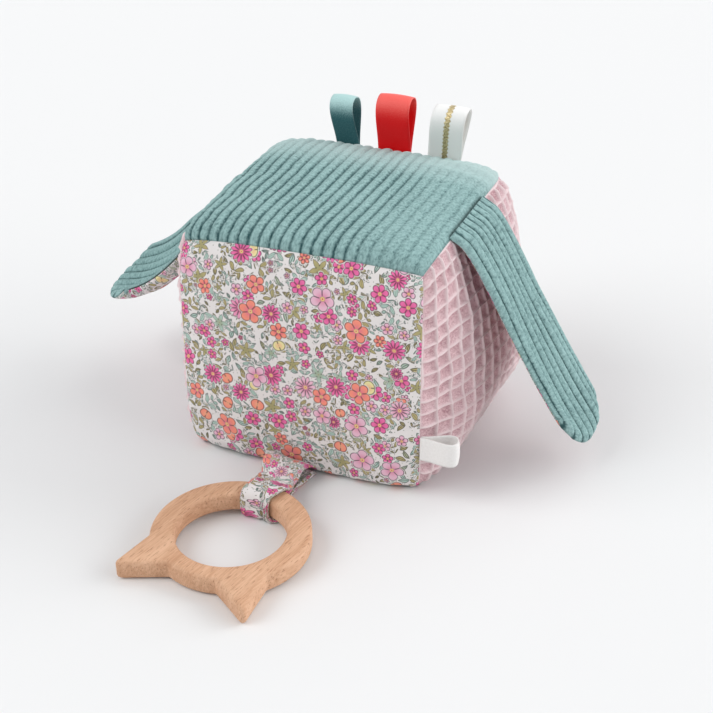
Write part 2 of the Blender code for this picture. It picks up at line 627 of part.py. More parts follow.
# Beads lie together in the bottom of the shell, each a touch gap from its neighbours
bead_ring = (BEAD_DIAMETER + TOUCH_GAP) / 2 / math.sin(math.pi / BEAD_COUNT)
bead_seat = RATTLE_DIAMETER / 2 - RATTLE_WALL - TOUCH_GAP - BEAD_DIAMETER / 2
bead_drop = math.sqrt(bead_seat ** 2 - bead_ring ** 2)
for number in range(BEAD_COUNT):
    turn = math.tau * number / BEAD_COUNT
    seat = rattle_middle + Vector((bead_ring * math.cos(turn), bead_ring * math.sin(turn), -bead_drop))
    ball(BEAD_DIAMETER, seat, f"rattle_bead_{number + 1}", steel, 2)

ear_gap = EAR_CLOTH_GAP + EAR_WADDING_THICK / 2
ear_cloths = (("outer", (ear_gap, ear_gap + EAR_OUTER_THICK), 0.0, corduroy),
              ("wadding", (-EAR_WADDING_THICK / 2, EAR_WADDING_THICK / 2), EAR_WADDING_MARGIN, fibre),
              ("lining", (-ear_gap - EAR_LINING_THICK, -ear_gap), 0.0, cotton))
right_bend = (RIGHT_EAR_ROOT_DROOP, RIGHT_EAR_HANG, RIGHT_EAR_EXTRA_DROOP, RIGHT_EAR_BEND_LENGTH,
              RIGHT_EAR_SWEEP, RIGHT_EAR_EXTRA_SWEEP)
left_bend = (LEFT_EAR_ROOT_DROOP, LEFT_EAR_HANG, LEFT_EAR_EXTRA_DROOP, LEFT_EAR_BEND_LENGTH,
             LEFT_EAR_SWEEP, LEFT_EAR_EXTRA_SWEEP)
right_curl = (RIGHT_EAR_FRONT_CURL, RIGHT_EAR_BACK_CURL, RIGHT_EAR_ROLL)
left_curl = (LEFT_EAR_FRONT_CURL, LEFT_EAR_BACK_CURL, LEFT_EAR_ROLL)
for cloth, offsets, margin, surface in ear_cloths:
    ear_layer(f"right_ear_{cloth}", 1, right_bend, right_curl, offsets, margin, surface)
    ear_layer(f"left_ear_{cloth}", -1, left_bend, left_curl, offsets, margin, surface)

ribbon("teal_ribbon", TEAL_RIBBON_X, TEAL_RIBBON_WIDTH, TEAL_RIBBON_HEIGHT, TEAL_RIBBON_TILT, teal_satin)
ribbon("red_ribbon", RED_RIBBON_X, RED_RIBBON_WIDTH, RED_RIBBON_HEIGHT, RED_RIBBON_TILT, red_satin)
ribbon("white_ribbon", WHITE_RIBBON_X, WHITE_RIBBON_WIDTH, WHITE_RIBBON_HEIGHT, WHITE_RIBBON_TILT, white_satin)
label("label_loop", white_satin)
teether_ring("teether_ring", beech)
strap("strap", cotton)
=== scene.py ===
import math

import bpy
import numpy as np
from mathutils import Matrix, Vector


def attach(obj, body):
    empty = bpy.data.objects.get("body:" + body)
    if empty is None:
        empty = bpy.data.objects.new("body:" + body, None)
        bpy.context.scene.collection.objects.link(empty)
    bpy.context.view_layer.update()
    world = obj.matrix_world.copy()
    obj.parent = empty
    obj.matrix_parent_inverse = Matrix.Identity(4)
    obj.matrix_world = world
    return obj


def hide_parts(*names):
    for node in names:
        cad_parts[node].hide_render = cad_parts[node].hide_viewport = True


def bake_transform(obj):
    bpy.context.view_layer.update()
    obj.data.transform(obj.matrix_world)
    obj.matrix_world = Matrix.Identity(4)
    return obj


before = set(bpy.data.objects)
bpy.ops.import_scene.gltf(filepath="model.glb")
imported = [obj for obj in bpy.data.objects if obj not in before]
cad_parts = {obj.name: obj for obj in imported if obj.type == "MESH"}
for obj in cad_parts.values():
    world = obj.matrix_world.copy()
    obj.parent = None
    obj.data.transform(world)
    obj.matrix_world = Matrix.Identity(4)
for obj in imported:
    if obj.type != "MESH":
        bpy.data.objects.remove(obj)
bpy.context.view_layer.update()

# Block cover
# Six cloth panels are sewn edge to edge, turned right side out and packed with fibre. The seams keep
# their length while the filling pushes the cloth out between them, so the cloth puckers beside them.
HALF = np.array([0.1245, 0.1243, 0.1152]) / 2
MIDDLE = 0.0617
CORNER_PULL, CORNER_POWER = 0.0024, 6
FRONT_LEFT_SAG = 0.0028
COVER_CELLS, COVER_REACH = 40, 0.012
WRINKLE, WRINKLE_SHARES = 0.0015, (0.55, 0.55, 0.3)
SEAM_TUCK, SEAM_TUCK_WIDTH = 0.00056, 0.0015
BOTTOM_DRAWN_IN, BOTTOM_EDGE = 0.0030, 0.006
SIDE_TURNED_IN, SIDE_EDGE, SIDE_FOOT = 0.0028, 0.007, 0.0004
LOWEST_CLOTH, LOWEST_BACKING = 0.0002, 0.0001

# By axis and side: how far each panel swells, and then along the other two axes how far its seams bow at
# their low and high ends, where it is fullest, and how boldly it rises from its seams.
PANELS = {(0, -1): (0.0076, {1: (0.0002, 0.0015, 0, 3.5), 2: (0.0015, -0.0010, 0, 3.5)}),
          (0, 1): (0.0195, {1: (0.0002, 0.0044, 0.38, 3), 2: (0.0044, 0.0012, -0.36, 2.1)}),
          (1, -1): (0.0058, {2: (0.0024, 0.0021, 0, 5.5), 0: (0.0002, 0.0044, 0.25, 5.5)}),
          (1, 1): (0.0080, {2: (0.0020, 0.0010, 0, 4.5), 0: (0.0020, 0.0042, 0, 4.5)}),
          (2, -1): (0.0046, {0: (0.0012, 0.0036, 0.35, 3), 1: (0.0022, 0.0020, 0, 3)}),
          (2, 1): (0.0066, {0: (0.0004, 0.0030, 0, 8), 1: (0.0015, 0.0009, -0.35, 8)})}


def fullness(t, shift=0.0, power=3):
    """How far the filling pushes a panel out across it: 0 at its seams and 1 at its fullest."""
    off = t - shift
    reach = np.where(off > 0, 1 - shift, 1 + shift)
    return 1 - np.minimum(abs(off) / reach, 1) ** power


def stuffed(place):
    """Places on a cube from -1 to 1, as they lie on the stuffed block."""
    corner = CORNER_PULL * abs(place.prod(axis=1)) ** CORNER_POWER
    out = np.zeros_like(place)
    for (k, side), (crown, ways) in PANELS.items():
        rise, full, bow = crown, {}, {}
        for way, (low, high, shift, power) in ways.items():
            t = place[:, way]
            rise = rise * fullness(t, shift, power)
            full[way] = fullness(t, shift)
            bow[way] = np.where(t > 0, high, low) * (1 - fullness(t))
        i, j = ways
        swell = rise + bow[i] * full[j] + bow[j] * full[i]
        on_side = place[:, k] > 0 if side > 0 else place[:, k] <= 0
        out[on_side, k] = (place[:, k] * (HALF[k] - corner + swell))[on_side]
    front_left = (1 - place[:, 0]) * (1 - place[:, 1]) / 4
    sag = FRONT_LEFT_SAG * front_left ** 3 * (1 + place[:, 2]) / 2
    out[:, 2] = np.maximum(out[:, 2] + MIDDLE - sag, 0.0)
    return out


def read_places(mesh):
    co = np.empty(len(mesh.vertices) * 3)
    mesh.vertices.foreach_get("co", co)
    return co.reshape(-1, 3)


bpy.ops.object.select_all(action="DESELECT")
bpy.ops.mesh.primitive_cube_add(size=2)
cover = bpy.context.object
cover.name = "cover_under_pressure"
bpy.ops.object.mode_set(mode="EDIT")
bpy.ops.mesh.select_all(action="SELECT")
bpy.ops.mesh.subdivide(number_cuts=COVER_CELLS - 1)
bpy.ops.object.mode_set(mode="OBJECT")
cube_places = read_places(cover.data)
cover_start = stuffed(cube_places)
cover.data.vertices.foreach_set("co", cover_start.ravel())
cover_places = cover_start.copy()
at_seam = (abs(cube_places) > 0.999).sum(axis=1) >= 2
seams = cover.vertex_groups.new(name="seams")
seams.add(np.flatnonzero(at_seam).tolist(), 1.0, "REPLACE")
cloth = cover.modifiers.new("cloth", "CLOTH")
for name, value in {"quality": 6, "mass": 0.25, "tension_stiffness": 18, "compression_stiffness": 18,
                    "shear_stiffness": 6, "bending_stiffness": 0.35, "use_pressure": True,
                    "uniform_pressure_force": 4, "shrink_min": -0.03,
                    "vertex_group_mass": "seams"}.items():
    setattr(cloth.settings, name, value)
cloth.settings.effector_weights.gravity = 0
cloth.collision_settings.use_collision = False
for step in range(1, 21):
    bpy.context.scene.frame_set(step)
bpy.ops.object.modifier_apply(modifier="cloth")
bpy.context.scene.frame_set(1)
moved = read_places(cover.data) - cover_start
reach = np.linalg.norm(moved, axis=1, keepdims=True)
cover_places = cover_start + moved * np.minimum(1, COVER_REACH / np.maximum(reach, 1e-9))


def panel_rows(places, axis, side):
    """The places of one panel, as columns along the next axis and rows along the one after it."""
    i, j = (axis + 1) % 3, (axis + 2) % 3
    of_panel = np.flatnonzero(abs(cube_places[:, axis] - side) < 1e-3)
    steps = np.rint((cube_places[of_panel] + 1) / 2 * COVER_CELLS).astype(int)
    rows = np.zeros((COVER_CELLS + 1, COVER_CELLS + 1, 3))
    rows[steps[:, i], steps[:, j]] = places[of_panel]
    return rows


def blurred(rows, times):
    """Rows of places, each evened out with its neighbours, the edges kept."""
    for _ in range(times):
        rows = rows.copy()
        rows[1:-1, 1:-1] = (rows[:-2, 1:-1] + rows[2:, 1:-1] + rows[1:-1, :-2] + rows[1:-1, 2:]) / 4
    return rows


def along_rows(rows, t):
    """Smoothly between rows of places, at shares from 0 to 1 along the first axis."""
    t = t * (len(rows) - 1)
    n = np.minimum(t.astype(int), len(rows) - 2)
    f = (t - n)[:, None, None]
    ends = np.concatenate([[2 * rows[0] - rows[1]], rows, [2 * rows[-1] - rows[-2]]])
    a, b, c, d = (ends[n + k] for k in range(4))
    return b + f / 2 * (c - a + f * (2 * a - 5 * b + 4 * c - d + f * (3 * (b - c) + d - a)))


def along_both(rows, u, v):
    """Smoothly between rows of places, both ways."""
    return along_rows(along_rows(rows, u).transpose(1, 0, 2), v).transpose(1, 0, 2)


def facing(rows):
    """The direction that rows of places face, square to the cloth."""
    normal = np.cross(np.gradient(rows, axis=0), np.gradient(rows, axis=1))
    return normal / np.maximum(np.linalg.norm(normal, axis=2, keepdims=True), 1e-12)


def close_to_ends(count):
    """Shares from 0 to 1 that lie closer together near both ends."""
    t = np.linspace(0, 1, count)
    return 0.55 * t + 0.45 * (0.5 - 0.5 * np.cos(math.pi * t))


def panel_shape(axis, side, u, v, relief):
    """A panel's places at shares u and v, raised by the cloth's own relief and tucked in at its seams."""
    start = panel_rows(cover_start, axis, side)
    wrinkles = panel_rows(cover_places, axis, side) - start
    wrinkles -= blurred(wrinkles, 60)
    rows = along_both(start + np.clip(wrinkles * WRINKLE_SHARES[axis], -WRINKLE, WRINKLE), u, v)
    across, along = np.meshgrid(u * 2 - 1, v * 2 - 1, indexing="ij")
    ways = {(axis + 1) % 3: across, (axis + 2) % 3: along}
    to_seam = {k: (1 - abs(t)) * HALF[k] for k, t in ways.items()}
    nearest = np.minimum(*to_seam.values())
    rows = rows + facing(rows) * side * relief(across, along, nearest)[:, :, None]
    if axis != 2:
        turned = np.clip(1 - to_seam[2] / SIDE_EDGE, 0, 1) ** 2 * (ways[2] < 0)
        rows[:, :, axis] -= SIDE_TURNED_IN * side * turned
        rows[:, :, 2] = rows[:, :, 2] * (1 - turned) + SIDE_FOOT * turned
    for k, t in ways.items():
        if (axis, side) == (2, -1):
            drawn_in = BOTTOM_DRAWN_IN * (1 - np.clip(nearest / BOTTOM_EDGE, 0, 1)) ** 2
            rows[:, :, k] -= drawn_in * np.sign(t) * (to_seam[k] < BOTTOM_EDGE)
        tuck = SEAM_TUCK * np.exp(-(to_seam[k] / SEAM_TUCK_WIDTH) ** 2)
        rows[:, :, axis] -= tuck * side
        rows[:, :, k] -= tuck * np.sign(t)
    rows[:, :, 2] = np.maximum(rows[:, :, 2], LOWEST_CLOTH)
    return rows


def grid_through(name, rows, cut):
    """A grid through rows of places, with where each lies on the flat cloth in its UV map."""
    columns, count = rows.shape[:2]
    bpy.ops.object.select_all(action="DESELECT")
    bpy.ops.mesh.primitive_grid_add(x_subdivisions=columns - 1, y_subdivisions=count - 1, size=2)
    piece = bpy.context.object
    piece.name = piece.data.name = name
    flat = read_places(piece.data)
    i = np.rint((flat[:, 0] + 1) / 2 * (columns - 1)).astype(int)
    j = np.rint((flat[:, 1] + 1) / 2 * (count - 1)).astype(int)
    piece.data.vertices.foreach_set("co", rows[i, j].ravel())
    corners = np.empty(len(piece.data.loops), np.int32)
    piece.data.loops.foreach_get("vertex_index", corners)
    piece.data.uv_layers[0].name = "cut"
    piece.data.uv_layers[0].data.foreach_set("uv", cut[i, j][corners].ravel())
    return piece


def cloth_grid(name, rows, cut, inside_out, thickness):
    """A cloth through rows of places, closed round its thickness."""
    piece = grid_through(name, rows, cut)
    if inside_out:
        bpy.ops.object.mode_set(mode="EDIT")
        bpy.ops.mesh.select_all(action="SELECT")
        bpy.ops.mesh.flip_normals()
        bpy.ops.object.mode_set(mode="OBJECT")
    wall = piece.modifiers.new("thickness", "SOLIDIFY")
    wall.thickness, wall.offset = thickness, -1
    bpy.ops.object.modifier_apply(modifier="thickness")
    places = read_places(piece.data)
    places[:, 2] = np.maximum(places[:, 2], LOWEST_BACKING)
    piece.data.vertices.foreach_set("co", places.ravel())
    bpy.ops.object.shade_smooth()
    return piece


def dress(piece, material, slot, body, *nodes):
    """Gives a piece its finish, hides the solids that it stands for, and fixes it to its body."""
    piece.data.materials.clear()
    piece.data.materials.append(material)
    if nodes:
        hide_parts(*nodes)
    if body:
        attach(piece, body)


def sew_panel(name, node, axis, side, shares, relief, cut, thickness, material, slot):
    """One panel of the cover, fixed to the block in place of its solid."""
    panel = cloth_grid(name, panel_shape(axis, side, *shares, relief), cut, side < 0, thickness)
    dress(panel, material, slot, "block", node)


def flat_cut(u, v, width, length, corner=(0.0, 0.0)):
    """Where each place of a panel lies on its flat cloth, in metres."""
    across, along = np.meshgrid(corner[0] + u * width, corner[1] + v * length, indexing="ij")
    return np.stack([across, along], axis=2)


class Thread:
    """A socket among a material's nodes. Arithmetic on it adds Math nodes."""

    def __init__(self, tree, socket=None):
        self.tree, self.socket = tree, socket

    def node(self, kind, settings=(), sockets=(), output=0):
        made = self.tree.nodes.new("ShaderNode" + kind)
        for name, value in dict(settings).items():
            setattr(made, name, value)
        for name, value in dict(sockets).items():
            if isinstance(value, Thread):
                self.tree.links.new(value.socket, made.inputs[name])
            else:
                made.inputs[name].default_value = value
        return Thread(self.tree, made.outputs[output])

    def beside(self, output):
        """Another output of the same node."""
        return Thread(self.tree, self.socket.node.outputs[output])

    def math(self, operation, *values):
        return self.node("Math", {"operation": operation}, dict(enumerate(values)))

    def __add__(self, other):
        return self.math("ADD", self, other)

    __radd__ = __add__

    def __sub__(self, other):
        return self.math("SUBTRACT", self, other)

    def __rsub__(self, other):
        return self.math("SUBTRACT", other, self)

    def __mul__(self, other):
        return self.math("MULTIPLY", self, other)

    __rmul__ = __mul__

    def __truediv__(self, other):
        return self.math("DIVIDE", self, other)

    def __pow__(self, other):
        return self.math("POWER", self, other)

    def __gt__(self, other):
        return self.math("GREATER_THAN", self, other)

    def __lt__(self, other):
        return self.math("LESS_THAN", self, other)

    def __abs__(self):
        return self.math("ABSOLUTE", self)

    def part(self):
        return self.math("FRACT", self)

    def ramp(self, low, high, start=0.0, end=1.0):
        """From start to end, smoothly, as this goes from low to high."""
        return self.node("MapRange", {"interpolation_type": "SMOOTHSTEP"},
                         {0: self, 1: low, 2: high, 3: start, 4: end})

    def mixed(self, below, above):
        """This share of one colour over another."""
        return self.node("Mix", {"data_type": "RGBA"}, {0: self, 6: below, 7: above}, 2)

    def cut(self):
        """The place on the flat cloth: a vector, and its two distances."""
        place = self.node("UVMap", {"uv_map": "cut"})
        across = self.node("SeparateXYZ", {}, {0: place})
        return place, across, across.beside(1)

    def object_place(self):
        return self.node("TexCoord", output=3)

    def noise(self, place, scale, detail=2.0, roughness=0.5):
        return self.node("TexNoise", {},
                         {"Vector": place, "Scale": scale, "Detail": detail, "Roughness": roughness})

    def threads(self, place, scale, way):
        """Fine straight threads that follow each other along X or Y."""
        return self.node("TexWave", {"wave_type": "BANDS", "bands_direction": way},
                         {"Vector": place, "Scale": scale})

    def stretched(self, place, factors):
        return self.node("VectorMath", {"operation": "MULTIPLY"}, {0: place, 1: factors})

    def bumped(self, height, strength, distance):
        return self.node("Bump", {}, {"Height": height, "Strength": strength, "Distance": distance})


def finish(name, roughness, **fixed):
    """A new material's first thread, and its shader with the sockets that stay the same all over."""
    material = bpy.data.materials.new(name)
    material.use_nodes = True
    shader = material.node_tree.nodes["Principled BSDF"]
    shader.inputs["Roughness"].default_value = roughness
    for socket, value in fixed.items():
        shader.inputs[socket.replace("_", " ")].default_value = value
    return material, Thread(material.node_tree), shader


def set_finish(material, shader, color=None, normal=None, roughness=None, metallic=None):
    threads = {"Base Color": color, "Normal": normal, "Roughness": roughness, "Metallic": metallic}
    for name, thread in threads.items():
        if thread is not None:
            material.node_tree.links.new(thread.socket, shader.inputs[name])
    return material


# Top and bottom panels
# Wide-wale corduroy in a dusty teal, its pile cut in rounded wales that run from front to back. The
# grooves between them show the darker ground with painted shade over it, darker still on the ears. The
# pile lies flatter towards the right, and the back of the top is painted lighter and greyer: a painted
# sheen.
WALE, CORDUROY_THICK = 0.0054, 0.0012
TOP_COLUMNS, TOP_ROWS = 23 * 10 + 1, 96
TOP_CLOTH_END, EAR_CLOTH_START = 0.2, 0.3


def wale_count(across, along, seed):
    """How many wales lie between a place and the cloth's edge: they wander a little along their way."""
    return (across / WALE + 0.16 * np.sin(along * 42 + seed) * np.sin(across * 38 + 2 * seed)
            + 0.03 * np.sin(along * 130 + 3 * seed + across * 70)
            + 0.008 * np.sin(along * 390 + across * 500))


def wale_height(wales):
    """The pile's height across one wale, from 0 in the grooves to 1 on its crown."""
    thick = 0.86 + 0.14 * np.sin(np.floor(wales) * 2.4)
    return thick * (1 - abs(2 * (wales % 1) - 1) ** 2.3)


def tufts(shape, size, seed):
    """Uneven pile, as a height at every place."""
    rough = np.random.default_rng(seed).normal(size=shape)
    return size * (rough + np.roll(rough, 1, axis=1) + np.roll(rough, 1, axis=0)) / 3


def corduroy_material():
    material, thread, shader = finish("teal corduroy", 0.95, Sheen_Weight=0.35, Sheen_Roughness=0.45,
                                      Sheen_Tint=(0.62, 0.86, 0.84, 1), Specular_IOR_Level=0.1)
    place, across, along = thread.cut()
    pile = thread.noise(thread.stretched(place, (1, 0.7, 1)), 900, 3, 0.75)
    clumps = thread.noise(place, 420, 2, 0.5)
    worn = thread.noise(place, 30, 3, 0.6)
    flattened = thread.math("MAXIMUM", across.ramp(0.078, 0.104) * 0.8, worn.ramp(0.52, 0.8) * 0.4)
    # Painted sheen: the back of the top is painted lighter and greyer than the rest.
    back = along.ramp(0.075, 0.118) * (along < TOP_CLOTH_END)
    # The grooves are painted dark: the bare ground, with painted shade over it.
    crown = 1 - abs((across / WALE).part() * 2 - 1) ** 1.7
    depth = crown.ramp(0.03, 0.80)
    for lightened, share in ((flattened, 0.75), (back, 0.45)):
        depth = depth + (1 - depth) * lightened * share
    light = (pile - 0.5) * 2.0 + (clumps - 0.5) * 0.7 + (worn - 0.5) * 0.45 + back * 0.30
    # Painted shade: the ears' grooves are painted darker still than the top's.
    ear_groove_shade = (along > TOP_CLOTH_END) * 0.34
    shade = (depth * (ear_groove_shade + 0.58) + 0.12 - ear_groove_shade + light * 0.85).ramp(-0.1, 1.05)
    color = shade.mixed((0.026, 0.077, 0.082, 1), (0.325, 0.500, 0.492, 1))
    # The painted sheen's paler, greyer colour.
    painted_sheen_color = (light * 0.5 + 0.5).mixed((0.36, 0.47, 0.465, 1), (0.58, 0.68, 0.67, 1))
    color = (back * 0.70).mixed(color, painted_sheen_color)
    return set_finish(material, shader, color, thread.bumped(pile * 0.7 + clumps * 0.3, 0.7, 0.0008))


def corduroy_relief(across, along, to_seam):
    wales = wale_count((across + 1) * HALF[0], along * HALF[1], 1.0)
    standing = 1 - 0.62 * np.clip((across - 0.30) / 0.35, 0, 1)
    near = np.clip(to_seam / 0.0032, 0, 1)
    fade = np.sqrt(1 - (1 - near) ** 2)
    back_right = np.clip((across - 0.2) * 2, 0, 1) * np.clip(along * 2, 0, 1)
    creases = 0.0006 * np.sin(along * 31 + 5 * across) * back_right
    pile = 0.0013 * wale_height(wales) * standing + tufts(across.shape, 0.00004, 5)
    return (0.0003 + pile + creases) * fade


corduroy = corduroy_material()
shares = np.linspace(0, 1, TOP_COLUMNS), close_to_ends(TOP_ROWS)
flat = flat_cut(*shares, 2 * HALF[0], 2 * HALF[1])
flat[:, :, 0] = wale_count(flat[:, :, 0], flat[:, :, 1] - HALF[1], 1.0) * WALE
for way, side in (("top", 1), ("bottom", -1)):
    sew_panel(f"{way}_corduroy", f"{way}_panel", 2, side, shares, corduroy_relief, flat, CORDUROY_THICK,
              corduroy, "corduroy")

# Front and back panels
# Thin plain-weave cotton, white, printed with small flowers, berries and sprigs in pinks, coral,
# pale yellow, olive and grey green, each with a fine grey outline.
INK, PAPER = (0.055, 0.055, 0.048, 1), (0.785, 0.745, 0.735, 1)
OLIVE, SAGE, MOSS = (0.470, 0.400, 0.190, 1), (0.440, 0.590, 0.525, 1), (0.30, 0.30, 0.15, 1)
HOT, SOFT, DEEP = (0.80, 0.17, 0.39, 1), (0.80, 0.50, 0.62, 1), (0.62, 0.05, 0.20, 1)
CORAL, YELLOW, PEACH = (0.88, 0.29, 0.21, 1), (0.80, 0.72, 0.36, 1), (0.84, 0.44, 0.26, 1)
STAMENS, EYE, ROSE = (0.85, 0.62, 0.26, 1), (0.62, 0.10, 0.16, 1), (0.70, 0.14, 0.30, 1)
SPECK = (0.30, 0.30, 0.25, 1)
LINE, LEAF_LINE, THIN_LINE, PRINT_EDGE = 0.00036, 0.00040, 0.00020, 0.00012
COTTON_THICK, COTTON_ROWS = 0.0006, 91
PANEL_CUT, BACK_CORNER = (0.120, 0.130), (0.2, 0.15)

# Pitch, jitter and seed of the motifs, petals, reach, how deep and how rounded their notches are, colours
# of the petals, the middle and a few odd ones, the heart's share, and the share of places left empty.
BLOSSOMS = ((0.0128, 0.7, 27.5, 5, 0.0058, 0.66, 0.85, (OLIVE, SAGE, MOSS, OLIVE), 0.06, 0.60),
            (0.0086, 0.75, 21.9, 5, 0.0034, 0.34, 2.2, (HOT, SOFT, DEEP, SOFT), 0.24, 0.68),
            (0.0132, 0.7, 64.3, 6, 0.0046, 0.32, 2.0, (HOT, HOT, DEEP, CORAL), 0.22, 0.68),
            (0.0150, 0.7, 33.3, 2, 0.0036, 0.22, 1.3, (CORAL, YELLOW, PEACH, CORAL), 0.07, 0.74),
            (0.0165, 0.7, 45.2, 12, 0.0059, 0.30, 1.6, (HOT, HOT, DEEP, SOFT), 0.18, 0.62),
            (0.0185, 0.65, 58.6, 5, 0.0064, 0.34, 2.2, (SOFT, CORAL, ROSE, CORAL), 0.20, 0.70))
# Pitch, jitter and seed of the sprigs, their length, the pitch and length of their blades, and colours.
SPRIGS = ((0.0125, 0.35, 71.9, 0.0062, 0.0034, 0.0044, (SAGE, SAGE)),
          (0.0150, 0.35, 12.4, 0.0070, 0.0038, 0.0048, (SAGE, OLIVE)),
          (0.0160, 0.35, 17.2, 0.0076, 0.0043, 0.0054, (OLIVE, SAGE)))
# Pitch, jitter and seed of the single leaves, their length and width, and colours.
LEAVES = ((0.0074, 0.6, 3.1, 0.0044, 0.0018, (SAGE, OLIVE)),
          (0.0066, 0.6, 81.3, 0.0042, 0.0021, (OLIVE, SAGE)))


def flower_print():
    material, thread, shader = finish("printed cotton", 0.85, Specular_IOR_Level=0.2, Sheen_Weight=0.1)
    place, _, _ = thread.cut()

    def spread_out(vector, factor, shift):
        return thread.node("VectorMath", {"operation": "MULTIPLY_ADD"},
                           {0: vector, 1: (factor,) * 3, 2: shift})

    wander = thread.node("TexNoise", {}, {"Vector": place, "Scale": 120.0}, 1)
    drift = spread_out(wander, 0.0008, place)

    def scattered(pitch, jitter, seed):
        """The nearest of many scattered motifs: the way across it, its random numbers and its room."""
        values = {"Vector": spread_out(drift, 1 / pitch, (seed, seed * 0.73 + 0.4, 0)), "Scale": 1.0,
                  "Randomness": jitter}
        spot = thread.node("TexVoronoi", {"voronoi_dimensions": "2D", "feature": "F1"}, values, 2)
        room = thread.node("TexVoronoi", {"voronoi_dimensions": "2D", "feature": "N_SPHERE_RADIUS"},
                           values, 4)
        away = thread.node("VectorMath", {"operation": "SUBTRACT"}, {0: values["Vector"], 1: spot})
        x = thread.node("SeparateXYZ", {}, {0: away})
        red = thread.node("SeparateColor", {}, {0: spot.beside(1)})
        return x * pitch, x.beside(1) * pitch, (red, red.beside(1), red.beside(2)), room * pitch

    def turned(x, y, turn):
        """The way along and across a motif that is turned by a share of a full turn."""
        cos, sin = thread.math("COSINE", turn * math.tau), thread.math("SINE", turn * math.tau)
        return x * cos + y * sin, y * cos - x * sin

    def outlined(gap, width=LINE):
        return 1 - gap.ramp(width, width * 1.8)

    def inked(gap, vein, choice, colors, width=LINE):
        """A leaf's colour, one of two, with its outline and vein."""
        color = choice.ramp(0.42, 0.58).mixed(*colors)
        return (thread.math("MAXIMUM", outlined(gap, width), vein) * 0.82).mixed(color, INK)

    def lay(below, gap, color, shown=1.0, margin=0.0004):
        """A motif over what is printed already, with a little bare cloth round it."""
        below = ((gap + margin).ramp(0.0, 0.0002) * shown).mixed(below, PAPER)
        return (gap.ramp(0.0, PRINT_EDGE) * shown).mixed(below, color)

    def blossom(below, spot, petals, radius, notch, power, colors, heart, empty):
        x, y, (a, b, c), room = spot
        reach = thread.math("MINIMUM", room * 0.97, radius * (0.82 + 0.25 * b))
        r = thread.math("SQRT", x * x + y * y)
        turn = (thread.math("ARCTAN2", y, x) / math.tau + a) * petals
        share = abs(turn.part() * 2 - 1)
        gap = reach * (1 - notch * share ** power) - r
        petal = c.ramp(0.50, 0.52).mixed(*colors[:2])
        petal = c.ramp(0.84, 0.86).mixed(petal, colors[3])
        petal = ((1 - (r / reach).ramp(0.15, 0.75)) * 0.55).mixed(petal, colors[2])
        between = outlined((1 - share) * r * (math.pi / petals), THIN_LINE) * (r / reach).ramp(0.2, 0.3)
        petal = (thread.math("MAXIMUM", outlined(gap), between) * 0.85).mixed(petal, INK)
        core = reach * heart - r
        petal = core.ramp(0.0, 0.0001).mixed(petal, (outlined(core, 0.00018) * 0.6).mixed(STAMENS, INK))
        petal = (core - reach * heart * 0.62).ramp(0.0, 0.0001).mixed(petal, EYE)
        return lay(below, gap, petal, b > empty)

    def leaf(below, spot, long, wide, colors):
        x, y, (a, b, c), room = spot
        along, across = turned(x, y, a)
        size = thread.math("MINIMUM", room * (0.99 / long), 0.8 + 0.4 * b)
        across = across + along * along * (0.25 / long)
        reach = along / (size * long)
        gap = (1 - reach * reach) * size * wide - abs(across)
        vein = outlined(abs(across), 0.00014) * (1 - abs(reach).ramp(0.6, 0.8))
        return lay(below, gap, inked(gap, vein, c, colors, LEAF_LINE), margin=0.00015)

    def sprig(below, spot, long, pitch, blade_long, colors):
        x, y, (a, b, c), room = spot
        size = thread.math("MINIMUM", room * (0.98 / long), 1.0)
        along, across = (way / size for way in turned(x, y, a))
        side = abs(across + along * along * (0.22 / long))
        shorter = 1 - abs(along) / (long * 1.2)
        from_middle = abs(((along - side * 0.7) / pitch).part() - 0.5) * pitch
        out = side / (shorter * blade_long) * 2 - 1
        blade = shorter * (0.46 * pitch * (1 - out * out)) - from_middle
        gap = thread.math("MAXIMUM", blade, 0.00016 - side)
        gap = thread.math("MINIMUM", gap, long - abs(along)) * size
        return lay(below, gap, inked(gap, outlined(from_middle, 0.00012) * 0.6, c, colors))

    dots = thread.node("TexVoronoi", {"voronoi_dimensions": "2D"}, {"Vector": place, "Scale": 330.0})
    color = (1 - dots.ramp(0.06, 0.10)).mixed(PAPER, SPECK)
    for motif, layers in ((leaf, LEAVES), (sprig, SPRIGS), (blossom, BLOSSOMS)):
        for pitch, jitter, seed, *shape in layers:
            color = motif(color, scattered(pitch, jitter, seed), *shape)
    weave = thread.threads(place, 480.0, "X") * thread.threads(place, 480.0, "Y")
    return set_finish(material, shader, color,
                      thread.bumped(weave * 0.5 + thread.noise(place, 260, 2) * 0.8, 0.35, 0.0003))


def cotton_relief(across, along, to_seam):
    pucker = np.cos(across * 27 + 2 * np.cos(along * 4)) + np.cos(along * 25 + 2 * np.cos(across * 5))
    beside_seam = np.exp(-(to_seam - 0.004) ** 2 / 0.004 ** 2)
    return 0.00016 * pucker * beside_seam + 0.0001 * (1 - np.exp(-(to_seam / 0.001) ** 2))


printed = flower_print()
shares = close_to_ends(COTTON_ROWS), close_to_ends(COTTON_ROWS)
for way, side, corner in (("front", -1, (0.0, 0.0)), ("back", 1, BACK_CORNER)):
    sew_panel(f"{way}_cotton", f"{way}_panel", 1, side, shares, cotton_relief,
              flat_cut(*shares, *PANEL_CUT, corner), COTTON_THICK, printed, "cotton")

# Right and left panels
# Honeycomb waffle cotton in pale pink: fine raised ribs stand round square hollows about 8 mm across,
# and the ribs bend with the bulge of the filling.
WAFFLE_CELLS, WAFFLE_THICK = (15, 16), 0.0010
RIB_SHARES = np.array([0, 0.045, 0.095, 0.17, 0.31, 0.5, 0.69, 0.83, 0.905, 0.955])


